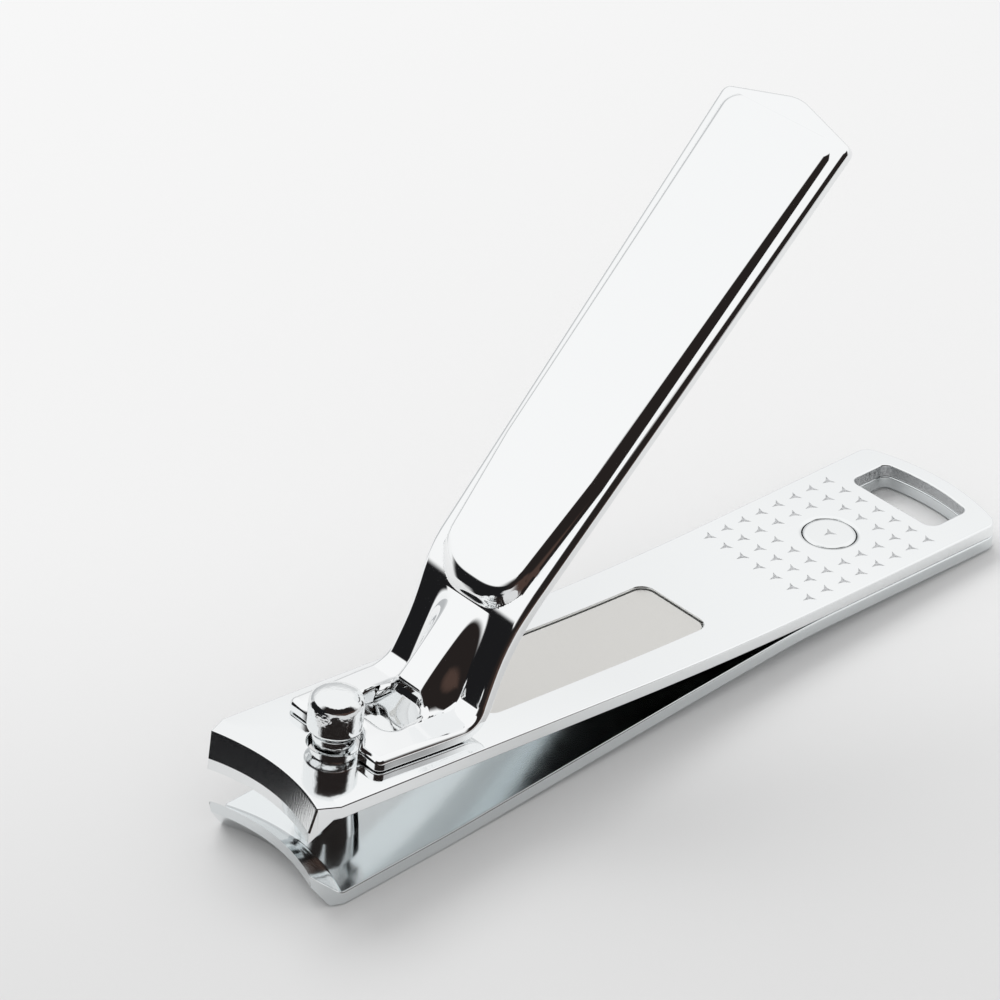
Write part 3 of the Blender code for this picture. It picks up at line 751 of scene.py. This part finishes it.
def dent_star(centre, grow):
    """Outline of a dent: arms with waists between them, one arm towards the jaws."""
    outline = []
    for i in range(2 * DENT_ARMS):
        radius = (DENT_WAIST if i % 2 else DENT_ARM) + grow
        angle = math.pi * (1 + i / DENT_ARMS)
        outline.append((centre[0] + radius * math.cos(angle), centre[1] + radius * math.sin(angle)))
    return outline


def dent_depth(x, y, centres):
    """Depth of the dents: each is a pit with straight sides, deepest at its middle."""
    depth = np.zeros_like(x)
    sector = math.pi / DENT_ARMS
    waist_x = DENT_WAIST * math.cos(sector)
    waist_y = DENT_WAIST * math.sin(sector)
    for cx, cy in centres:
        near = np.hypot(x - cx, y - cy) < DENT_ARM + DENT_RIM
        radius = np.hypot(x[near] - cx, y[near] - cy)
        heading = np.arctan2(y[near] - cy, x[near] - cx)
        angle = np.abs((heading + math.pi + sector) % (2 * sector) - sector)
        side_a = radius * np.cos(angle)
        side_b = radius * np.sin(angle)
        reach = side_a / DENT_ARM + side_b * (1 - waist_x / DENT_ARM) / waist_y
        depth[near] = np.maximum(depth[near], DENT_DEPTH * np.clip(1 - reach, 0, 1))
    return depth


def dent_lines(centres):
    lines = []
    for centre in centres:
        lines += [closed(dent_star(centre, 0)), closed(dent_star(centre, DENT_RIM))]
        lines += [[centre, point] for point in dent_star(centre, 0)]
    return lines


def on_slot(x, y):
    """Which of the points lie on the rim of the slot."""
    past_front = x > REAR - SLOT_FROM_REAR - NUDGE
    before_end = np.hypot(x - REAR + TAIL_RADIUS, y) < TAIL_RADIUS - SLOT_RIM / 2
    return past_front & before_end & (abs(y) < SLOT_HALF_WIDTH + NUDGE)


def inlay_corners(clearance):
    return rectangle(INLAY_START + clearance, INLAY_END - clearance, INLAY_HALF_WIDTH - clearance)


def upper_arm():
    dents = dent_centres()
    pocket = inlay_corners(0)
    lip_rise = UPPER_FRONT_HEIGHT - UPPER_EDGE_HEIGHT
    lip_run = (lip_rise + SHEET - LAND_HEIGHT) / (math.tan(UPPER_LIP_TILT) + ARM_SLOPE)

    def surface(x, y, on_top):
        if on_top:
            lip = lip_line(UPPER_EDGE_HEIGHT + LAND_HEIGHT, UPPER_LIP_TILT, x, y)
            sunk = POCKET_DEPTH * step_up(rounded_inset(x, y, pocket, INLAY_CORNER) / POCKET_WALL)
            return x, y, eased_min(upper_inner(x) + SHEET, lip, LIP_EASE) - sunk - dent_depth(x, y, dents)
        return x, y, eased_min(upper_inner(x), lip_line(UPPER_EDGE_HEIGHT, LIP_INNER_TILT, x, y), LIP_EASE)

    def finish(x, y, on_wall):
        if on_wall:
            return np.where(on_slot(x, y), ROUGH_WITH_DENT_SHADE, POLISHED)
        on_lip = x - FRONT - hollow(y) < lip_run
        # The dents take the darker steel, which paints shade into them.
        return np.select([dent_depth(x, y, dents) > 0, on_lip], [ROUGH_WITH_DENT_SHADE, GROUND], POLISHED)

    lines = jaw_lines(lip_rise / (math.tan(LIP_INNER_TILT) + ARM_SLOPE))
    lines += jaw_lines(lip_run)
    lines += bend_lines(REAR - UPPER_BEND_FROM_REAR, UPPER_BEND_REACH)
    for wall in [-CREASE_GAP] + even_steps(POCKET_WALL, WALL_STEPS):
        lines.append(closed(evenly_rounded(inlay_corners(wall), INLAY_CORNER - wall)))
    lines += dent_lines(dents)
    slot, rivet_hole = tail_holes()
    loops = [(arm_outline(), ARM_EDGE), (slot, ARM_EDGE), (rivet_hole, RIVET_EDGE)]
    loops.append((circle((PIN_X, 0), UPPER_HOLE_RADIUS), HOLE_EDGE))
    piece = sheet("upper_arm_steel", loops, lines, surface, finish)
    height = upper_inner(FLEX)
    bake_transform(piece)
    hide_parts("upper_arm", "upper_arm_tail")
    return piece


def inlay_surface(x, y, on_top):
    bottom = upper_inner(x) + SHEET - POCKET_DEPTH + SEAM_GAP
    return x, y, bottom + INLAY_THICKNESS if on_top else bottom


def inlay():
    clearance = INLAY_CLEARANCE + POCKET_WALL
    outline = evenly_rounded(inlay_corners(clearance), INLAY_CORNER - clearance)
    lines = bend_lines(REAR - UPPER_BEND_FROM_REAR, UPPER_BEND_REACH)
    piece = sheet("inlay_satin", [(outline, INLAY_EDGE)], lines, inlay_surface)
    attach(piece, "upper_arm")
    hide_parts("inlay_plate")
    return piece


def rivet():
    centre = (RIVET_X, 0)

    def surface(x, y, on_top):
        half = SHEET + SEAM_GAP / 2
        middle = lower_inner(x) + SEAM_GAP / 2
        return x, y, middle + half - dent_depth(x, y, [centre]) if on_top else middle - half

    def finish(x, y, on_wall):
        # The rivet's dent takes the darker steel, which paints shade into it.
        return np.where(dent_depth(x, y, [centre]) > 0, ROUGH_WITH_DENT_SHADE, POLISHED)

    loops = [(circle(centre, RIVET_RADIUS), RIVET_EDGE)]
    piece = sheet("rivet_steel", loops, dent_lines([centre]), surface, finish)
    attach(piece, "lower_arm")
    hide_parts("rear_rivet")
    return piece


def eased_profile(corners, radius):
    """A turned profile with the corners between its first and last points rounded."""
    profile = [corners[0]]
    for before, here, after in zip(corners, corners[1:], corners[2:]):
        spot = Vector(here)
        to_before = (Vector(before) - spot).normalized()
        to_after = (Vector(after) - spot).normalized()
        for t in even_steps(1, EDGE_STEPS):
            profile.append(tuple(spot + to_before * radius * (1 - t) ** 2 + to_after * radius * t * t))
    return profile + [corners[-1]]


def pin():
    tilt = FLANGE_RADIUS * math.sin(PIN_LEAN)
    foot = -(PIN_SEAT.z - PIN_TABLE_GAP - tilt) / math.cos(PIN_LEAN)
    shoulder = HEAD_FROM_ARM + HEAD_TAPER
    crown = shoulder + HEAD_WALL
    corners = [(0, foot), (FLANGE_RADIUS, foot), (FLANGE_RADIUS, foot + FLANGE_THICKNESS),
               (SHANK_RADIUS, foot + FLANGE_THICKNESS), (SHANK_RADIUS, -NECK_SUNK),
               (NECK_RADIUS, -NECK_SUNK), (NECK_RADIUS, HEAD_FROM_ARM),
               (HEAD_RADIUS, shoulder), (HEAD_RADIUS, crown)]
    dome = [(HEAD_RADIUS * math.cos(a) ** DOME_FLATNESS, crown + HEAD_DOME * math.sin(a) ** DOME_FLATNESS)
            for a in even_steps(math.pi / 2, DOME_STEPS)[1:-1]]
    piece = turned("pin_steel", eased_profile(corners, TURNED_EDGE) + dome + [(0, crown + HEAD_DOME)])
    piece.data.transform(PIN_FRAME)
    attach(piece, "pin")
    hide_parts("pin")
    return piece


class BentPath:
    """A line in the X-Z plane made of straight runs and the arcs between them, measured along its length."""

    def __init__(self, corners, radii):
        self.pieces = []
        self.length = 0
        spot = corners[0]
        for i, radius in enumerate(radii, 1):
            before = (corners[i] - corners[i - 1]).normalized()
            after = (corners[i + 1] - corners[i]).normalized()
            turn = math.atan2(before.x * after.y - before.y * after.x, before.dot(after))
            reach = radius * math.tan(abs(turn) / 2)
            start = corners[i] - before * reach
            self.add(spot, before, (start - spot).length, 0)
            self.add(start, before, radius * abs(turn), turn)
            spot = corners[i] + after * reach
        self.add(spot, after, (corners[-1] - spot).length, 0)

    def add(self, start, heading, length, turn):
        self.pieces.append((self.length, start, heading, length, turn))
        self.length += length

    def starts(self):
        return [piece[0] for piece in self.pieces]

    def at(self, s, height):
        """Points at s along the path, raised off it by the height."""
        x = np.zeros_like(s)
        z = np.zeros_like(s)
        for i, (begin, start, heading, length, turn) in enumerate(self.pieces):
            here = s >= begin if i else np.ones(s.shape, bool)
            along = s[here] - begin
            angle = math.atan2(heading.y, heading.x) + turn * along / length
            if turn:
                radius = length / turn
                x[here] = start.x + radius * (np.sin(angle) - heading.y)
                z[here] = start.y - radius * (np.cos(angle) - heading.x)
            else:
                x[here] = start.x + heading.x * along
                z[here] = start.y + heading.y * along
            x[here] -= np.sin(angle) * height[here]
            z[here] += np.cos(angle) * height[here]
        return x, z

    def point(self, s, height):
        """One point at s along the path, raised off it by the height."""
        x, z = self.at(np.array([s]), np.array([height]))
        return Vector((x[0], z[0]))


def lever_path():
    """Underside of the lever from the prongs to the tip, in the pin's frame and measured from the hinge."""
    handle_turn = RISE_TURN - HANDLE_TURN
    prongs = Vector((-PRONG_OVERHANG, -LEVER_SHEET))
    heel = Vector((FOOT_REACH, -LEVER_SHEET))
    knee = heel + RISE_LENGTH * Vector((math.cos(RISE_TURN), math.sin(RISE_TURN)))
    tip = knee + HANDLE_LENGTH * Vector((math.cos(handle_turn), math.sin(handle_turn)))
    return BentPath([prongs, heel, knee, tip], [HEEL_RADIUS, KNEE_RADIUS])


def eased_run(stations, s):
    """A smooth run through (s, value) stations."""
    value = stations[0][1]
    for (start, low), (end, high) in zip(stations, stations[1:]):
        value = value + (high - low) * step_up((s - start) / (end - start))
    return value


class LeverShape:
    """The lever as a flat blank, measured along its path and across it, and the shape it is pressed to."""

    def __init__(self):
        self.path = lever_path()
        foot_end, heel_end, knee_start, self.knee_end = self.path.starts()[1:5]
        waist = (heel_end + knee_start) / 2
        self.widths = [(0, FOOT_HALF_WIDTH), (foot_end, HEEL_HALF_WIDTH), (waist, WAIST_HALF_WIDTH),
                       (self.knee_end, KNEE_HALF_WIDTH)]
        self.roof = self.path.length - TIP_ROOF
        self.window_start = PRONG_OVERHANG + WINDOW_FROM_PIN
        self.window_end = self.window_start + WINDOW_LENGTH
        self.rib_start = self.window_end - WINDOW_CORNER
        self.pad_start = knee_start + PAD_FROM_KNEE
        self.pad_turn = self.pad_start + PAD_LOW_BOW + PAD_LOW_WALL
        self.low_half = self.half_width(self.pad_start) - PAD_MARGIN_LOW
        self.rib_front = self.path.point(self.window_end, LEVER_SHEET + RIB_FRONT_RAISE)
        self.rib_chord = self.path.point(self.pad_start, LEVER_SHEET) - self.rib_front

    def half_width(self, s):
        flare = (TIP_HALF_WIDTH - KNEE_HALF_WIDTH) * max(0, s - self.knee_end) / (self.roof - self.knee_end)
        return float(eased_run(self.widths, s)) + flare

    def outline(self):
        notch = arc((PRONG_OVERHANG, 0), NOTCH_RADIUS, -NOTCH_FLARE, NOTCH_FLARE)
        mouth = notch[-1][1] + notch[-1][0] / math.tan(NOTCH_FLARE)
        prong = (PRONG_CORNER, FOOT_HALF_WIDTH - PRONG_CORNER)
        side_end = self.roof - 2 * TIP_CORNER
        end_half = self.half_width(side_end)
        left = [(0, mouth)] + arc(prong, PRONG_CORNER, math.pi, math.pi / 2)
        stations = np.linspace(PRONG_CORNER, side_end, SIDE_STEPS)[1:-1].tolist()
        left += [(s, self.half_width(s)) for s in stations]
        tip = rounded([(side_end, end_half), (self.roof, TIP_HALF_WIDTH), (self.path.length, 0),
                       (self.roof, -TIP_HALF_WIDTH), (side_end, -end_half)],
                      [0, TIP_CORNER, TIP_APEX, TIP_CORNER, 0])
        return notch + left + tip[ARC_STEPS:-ARC_STEPS] + [(s, -y) for s, y in reversed(left)]

    def window(self):
        corners = rectangle(self.window_start, self.window_end, WINDOW_HALF_WIDTH)
        return evenly_rounded(corners, WINDOW_CORNER)

    def pad_corners(self, inset):
        taper = self.pad_start + PAD_TAPER
        left = [(self.pad_start + inset, self.low_half - inset),
                (taper, self.half_width(taper) - PAD_MARGIN - inset),
                (self.roof - PAD_FROM_ROOF - inset, self.half_width(self.roof) - PAD_MARGIN_TIP - inset)]
        return [(s, -y) for s, y in left] + left[::-1]

    def low_end(self, y):
        """Where the pad's low end begins, bowed back towards its corners."""
        return self.pad_start + PAD_LOW_BOW * np.clip(np.abs(y / self.low_half), 0, 1) ** PAD_LOW_POWER

    def low_line(self, inset):
        """A line across the pad at its bowed low end."""
        across = np.linspace(-self.low_half, self.low_half, CIRCLE_STEPS)
        return [(float(self.low_end(y)) + inset, y) for y in across]

    def pad_line(self, inset):
        return closed(evenly_rounded(self.pad_corners(inset), PAD_CORNER - inset))

    def pad_raise(self, s, y):
        """Height of the pad: it falls off at its sides, gently at its low end, and thins out to the tip."""
        share = 1 - (1 - PAD_TIP_SHARE) * np.clip((s - self.pad_start) / (self.roof - self.pad_start), 0, 1)
        side = eased_up(rounded_inset(s, y, self.pad_corners(0), PAD_CORNER) / PAD_WALL)
        return PAD_RAISE * share * side * eased_up((s - self.low_end(y)) / PAD_LOW_WALL)

    def rib_raise(self, s):
        """Offset from the sheet's face to the rib's: the rib bridges the inside of the heel."""
        t = np.clip((s - self.window_end) / (self.pad_start - self.window_end), 0, 1)
        x, z = self.path.at(s, np.full_like(s, LEVER_SHEET))
        return self.rib_front.x + self.rib_chord.x * t - x, self.rib_front.y + self.rib_chord.y * t - z

    def surface(self, s, y, on_top):
        x, z = self.path.at(s, self.pad_raise(s, y) + (LEVER_SHEET if on_top else 0))
        side = step_up((RIB_HALF_WIDTH + RIB_WALL - np.abs(y)) / RIB_WALL)
        side = side * (s > self.rib_start) * (s < self.pad_start)
        rib_x, rib_z = self.rib_raise(np.maximum(s, self.window_end))
        return x + rib_x * side, y, z + rib_z * side

    def lines(self):
        """Lines for the mesh to follow: across the rib, round the pad, over its low end, and lengthwise."""
        lines = [across_line(s) for s in np.linspace(self.rib_start, self.pad_start, RIB_STEPS)]
        lines += [self.pad_line(wall) for wall in [-CREASE_GAP] + even_steps(PAD_WALL, WALL_STEPS)]
        lines += [across_line(s) for s in np.linspace(self.pad_start, self.roof, PAD_STEPS)[1:]]
        lines += [self.low_line(wall) for wall in even_steps(PAD_LOW_WALL, LOW_END_STEPS)]
        lines += [across_line(s) for s in np.linspace(self.pad_start + CREASE_GAP, self.pad_turn, PAD_STEPS)]
        for y in np.linspace(0, KNEE_HALF_WIDTH, LENGTHWISE_STEPS):
            lines += [[(self.rib_start, side), (self.pad_turn, side)] for side in (y, -y)]
        return lines


def lever():
    shape = LeverShape()
    loops = [(shape.outline(), LEVER_EDGE), (shape.window(), LEVER_EDGE)]
    piece = sheet("lever_steel", loops, shape.lines(), shape.surface)
    piece.data.transform(PIN_FRAME @ Matrix.Translation(HINGE))
    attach(piece, "lever")
    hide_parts("lever")
    return piece


class Steel:
    """A steel material of one colour, with textures laid on it by the piece's own coordinates."""

    def __init__(self, name, colour):
        self.material = bpy.data.materials.new(name)
        self.material.use_nodes = True
        self.nodes = self.material.node_tree.nodes
        self.links = self.material.node_tree.links
        self.shader = self.nodes["Principled BSDF"]
        self.shader.inputs["Base Color"].default_value = (*colour, 1)
        self.shader.inputs["Metallic"].default_value = 1
        self.place = self.nodes.new("ShaderNodeTexCoord")

    def texture(self, kind, **settings):
        texture = self.nodes.new(kind)
        for name, value in settings.items():
            texture.inputs[name].default_value = value
        self.links.new(self.place.outputs["Object"], texture.inputs["Vector"])
        return texture

    def noise(self, scale, detail):
        return self.texture("ShaderNodeTexNoise", Scale=scale, Detail=detail)

    def even_roughness(self, roughness):
        self.shader.inputs["Roughness"].default_value = roughness

    def varied_roughness(self, texture, least, most):
        spread = self.nodes.new("ShaderNodeMapRange")
        spread.inputs["To Min"].default_value = least
        spread.inputs["To Max"].default_value = most
        self.links.new(texture.outputs["Fac"], spread.inputs["Value"])
        self.links.new(spread.outputs["Result"], self.shader.inputs["Roughness"])

    def relief(self, texture, strength, depth):
        bump = self.nodes.new("ShaderNodeBump")
        bump.inputs["Strength"].default_value = strength
        bump.inputs["Distance"].default_value = depth
        self.links.new(texture.outputs["Fac"], bump.inputs["Height"])
        self.links.new(bump.outputs["Normal"], self.shader.inputs["Normal"])


def chrome(name, colour, roughness, wave_scale=SHEET_WAVE_SCALE, waviness=SHEET_WAVINESS):
    """Polished plated steel: even colour, faint haze and the slight waves of a stamped and plated sheet."""
    steel = Steel(name, colour)
    haze = steel.noise(HAZE_SCALE, HAZE_DETAIL)
    steel.varied_roughness(haze, roughness * HAZE_LEAST, roughness * HAZE_MOST)
    steel.relief(steel.noise(wave_scale, WAVE_DETAIL), waviness, FINE_RELIEF)
    return steel.material


def punched_with_dent_shade(name, colour):
    """Steel as the punch leaves it: dull and torn. Its darker colour also paints shade into the dents."""
    steel = Steel(name, colour)
    steel.even_roughness(PUNCHED_ROUGHNESS)
    steel.relief(steel.noise(TEAR_SCALE, TEAR_DETAIL), TEAR_STRENGTH, TEAR_RELIEF)
    return steel.material


def ground(name, colour):
    """Steel with the ripples of a grinding wheel, which run down the lip."""
    steel = Steel(name, colour)
    steel.even_roughness(GROUND_ROUGHNESS)
    ripples = steel.texture("ShaderNodeTexWave", Scale=RIPPLE_SCALE, Distortion=RIPPLE_DISTORTION,
                            Detail=RIPPLE_DETAIL)
    ripples.bands_direction = "Y"
    steel.relief(ripples, RIPPLE_STRENGTH, FINE_RELIEF)
    return steel.material


def satin(name, colour):
    """Blasted steel with a fine even grain."""
    steel = Steel(name, colour)
    grain = steel.noise(GRAIN_SCALE, GRAIN_DETAIL)
    steel.varied_roughness(grain, *SATIN_ROUGHNESS)
    steel.relief(grain, GRAIN_STRENGTH, FINE_RELIEF)
    return steel.material


def dress(piece, *materials):
    for material in materials:
        piece.data.materials.append(material)


def board_with_painted_shade(name):
    """Matt material with painted shade: its grey darkens towards the camera's side, standing in for the light
    falling off there.
    """
    material = bpy.data.materials.new(name)
    material.use_nodes = True
    nodes = material.node_tree.nodes
    links = material.node_tree.links
    shader = nodes["Principled BSDF"]
    shader.inputs["Roughness"].default_value = FLOOR_ROUGHNESS
    shader.inputs["Specular IOR Level"].default_value = 0
    place = nodes.new("ShaderNodeTexCoord")
    towards = nodes.new("ShaderNodeVectorMath")
    towards.operation = "DOT_PRODUCT"
    towards.inputs[1].default_value = (*TOWARDS_CAMERA, 0)
    # Painted shade: the grey falls from the lit value to the darker one towards the camera.
    grey = nodes.new("ShaderNodeMapRange")
    grey.interpolation_type = "SMOOTHSTEP"
    grey.inputs["From Min"].default_value = FLOOR_SHADE_START
    grey.inputs["From Max"].default_value = FLOOR_SHADE_END
    grey.inputs["To Min"].default_value = FLOOR_LIT_GREY
    grey.inputs["To Max"].default_value = FLOOR_PAINTED_SHADE_GREY
    links.new(place.outputs["Object"], towards.inputs[0])
    links.new(towards.outputs["Value"], grey.inputs["Value"])
    links.new(grey.outputs["Result"], shader.inputs["Base Color"])
    return material


def floor():
    corners = rectangle(-FLOOR_REACH, FLOOR_REACH, FLOOR_REACH)
    mesh = bpy.data.meshes.new("floor")
    mesh.from_pydata([(x, y, -FLOOR_GAP) for x, y in corners], [], [(0, 1, 2, 3)])
    piece = linked("floor", mesh)
    dress(piece, board_with_painted_shade("floor"))


def smooth_greys(nodes, stops):
    """A colour ramp that eases through (position, grey) stops."""
    greys = nodes.new("ShaderNodeValToRGB")
    greys.color_ramp.interpolation = "EASE"
    while len(greys.color_ramp.elements) < len(stops):
        greys.color_ramp.elements.new(1)
    for element, (position, value) in zip(greys.color_ramp.elements, stops):
        element.position = position
        element.color = (value, value, value, 1)
    return greys


def fading_card(name, colour, fade):
    """Unlit card of one colour that fades out towards its top and its two ends, told by its UV map."""
    card = bpy.data.materials.new(name)
    card.use_nodes = True
    nodes = card.node_tree.nodes
    links = card.node_tree.links
    nodes.clear()
    place = nodes.new("ShaderNodeUVMap")
    split = nodes.new("ShaderNodeSeparateXYZ")
    ends = smooth_greys(nodes, [(0, 0), (fade, 1), (1 - fade, 1), (1, 0)])
    top = smooth_greys(nodes, [(1 - fade, 1), (1, 0)])
    both = nodes.new("ShaderNodeMath")
    both.operation = "MULTIPLY"
    clear = nodes.new("ShaderNodeBsdfTransparent")
    unlit = nodes.new("ShaderNodeEmission")
    unlit.inputs["Color"].default_value = (*colour, 1)
    mix = nodes.new("ShaderNodeMixShader")
    out = nodes.new("ShaderNodeOutputMaterial")
    links.new(place.outputs["UV"], split.inputs["Vector"])
    links.new(split.outputs["X"], ends.inputs["Fac"])
    links.new(split.outputs["Y"], top.inputs["Fac"])
    links.new(ends.outputs["Color"], both.inputs[0])
    links.new(top.outputs["Color"], both.inputs[1])
    links.new(both.outputs["Value"], mix.inputs["Fac"])
    links.new(clear.outputs["BSDF"], mix.inputs[1])
    links.new(unlit.outputs["Emission"], mix.inputs[2])
    links.new(mix.outputs["Shader"], out.inputs["Surface"])
    return card


def screen(name, centre, radius, height, sweep, colour, fade):
    """A standing screen, bowed round a point between two angles in degrees, seen only in polished steel."""
    mesh = bpy.data.meshes.new(name)
    start, end = (math.radians(angle) for angle in sweep)
    foot = arc(centre, radius, start, end, CIRCLE_STEPS)
    count = len(foot)
    verts = [(x, y, 0) for x, y in foot] + [(x, y, height) for x, y in foot]
    mesh.from_pydata(verts, [], [(i, i + 1, count + i + 1, count + i) for i in range(count - 1)])
    layer = mesh.uv_layers.new(name="card")
    for loop in mesh.loops:
        i = loop.vertex_index
        layer.data[loop.index].uv = (i % count / (count - 1), i // count)
    piece = linked(name, mesh)
    dress(piece, fading_card(name, colour, fade))
    piece.visible_camera = False
    piece.visible_diffuse = False
    piece.visible_shadow = False


def screens():
    """Dark cards by the jaws, a grey horizon behind the part, and a dark room on the photograph's side."""
    jaw = (FRONT, 0)
    middle = (0, 0)
    screen("jaw_card", jaw, radius=22 * MM, height=9 * MM, sweep=(90, 215), colour=CARD_COLOUR,
           fade=CARD_FADE)
    screen("knee_card", jaw, radius=40 * MM, height=34 * MM, sweep=(100, 195), colour=CARD_COLOUR,
           fade=CARD_FADE)
    screen("horizon", middle, radius=500 * MM, height=340 * MM, sweep=(-60, 158), colour=HORIZON_COLOUR,
           fade=HORIZON_FADE)
    screen("room", middle, radius=250 * MM, height=360 * MM, sweep=(158, 318), colour=ROOM_COLOUR,
           fade=ROOM_FADE)
    screen("wall_foot", middle, radius=85 * MM, height=26 * MM, sweep=(195, 312), colour=WALL_FOOT_COLOUR,
           fade=WALL_FOOT_FADE)


def white_world():
    """An even world, white to the camera and in the steel, that lights the part a little less brightly."""
    world = bpy.data.worlds.new("studio")
    world.use_nodes = True
    nodes = world.node_tree.nodes
    links = world.node_tree.links
    rays = nodes.new("ShaderNodeLightPath")
    shown = nodes.new("ShaderNodeMath")
    shown.operation = "MAXIMUM"
    light = nodes.new("ShaderNodeMapRange")
    light.inputs["To Min"].default_value = WORLD_LIGHT
    background = nodes["Background"]
    background.inputs["Color"].default_value = (1, 1, 1, 1)
    links.new(rays.outputs["Is Camera Ray"], shown.inputs[0])
    links.new(rays.outputs["Is Glossy Ray"], shown.inputs[1])
    links.new(shown.outputs["Value"], light.inputs["Value"])
    links.new(light.outputs["Result"], background.inputs["Strength"])
    bpy.context.scene.world = world


def soft_box():
    lamp = bpy.data.lights.new("soft_box", "AREA")
    lamp.shape = "RECTANGLE"
    lamp.size = LAMP_WIDTH
    lamp.size_y = LAMP_DEPTH
    lamp.energy = LAMP_POWER
    box = linked("soft_box", lamp)
    box.location = LAMP_PLACE
    box.rotation_euler = (-box.location).to_track_quat("-Z", "Y").to_euler()
    box.visible_glossy = False


def camera():
    lens = bpy.data.cameras.new("camera")
    lens.lens = CAMERA_LENS
    lens.sensor_width = CAMERA_SENSOR
    lens.clip_start = CAMERA_CLIP
    x, y = TOWARDS_CAMERA
    level = math.cos(CAMERA_ELEVATION)
    back = Vector((x * level, y * level, math.sin(CAMERA_ELEVATION)))
    right = Vector((-y, x, 0))
    turn = Matrix((right, back.cross(right), back)).transposed().to_4x4()
    eye = linked("camera", lens)
    eye.matrix_world = Matrix.Translation(CAMERA_EYE) @ turn
    bpy.context.scene.camera = eye


# This darker steel serves the slot walls and paints shade into the dents.
punched_steel_and_dent_shade = punched_with_dent_shade("punched_steel_and_dent_shade", PUNCHED_AND_DENT_SHADE_COLOUR)
ground_lip = ground("ground_lip", UPPER_COLOUR)
# The lower arm's darker, bluer chrome is painted shade.
dress(lower_arm(), chrome("chrome_lower_shaded", LOWER_SHADED_COLOUR, LOWER_ROUGHNESS))
dress(upper_arm(), chrome("chrome_upper", UPPER_COLOUR, UPPER_ROUGHNESS), punched_steel_and_dent_shade, ground_lip)
dress(inlay(), satin("satin_plate", SATIN_COLOUR))
dress(rivet(), chrome("chrome_rivet", RIVET_COLOUR, RIVET_ROUGHNESS), punched_steel_and_dent_shade)
dress(pin(), chrome("chrome_pin", PIN_COLOUR, PIN_ROUGHNESS, PIN_WAVE_SCALE, PIN_WAVINESS))
dress(lever(), chrome("chrome_lever", LEVER_COLOUR, LEVER_ROUGHNESS))
floor()
screens()
white_world()
soft_box()
camera()
bpy.context.scene.view_settings.view_transform = "Standard"
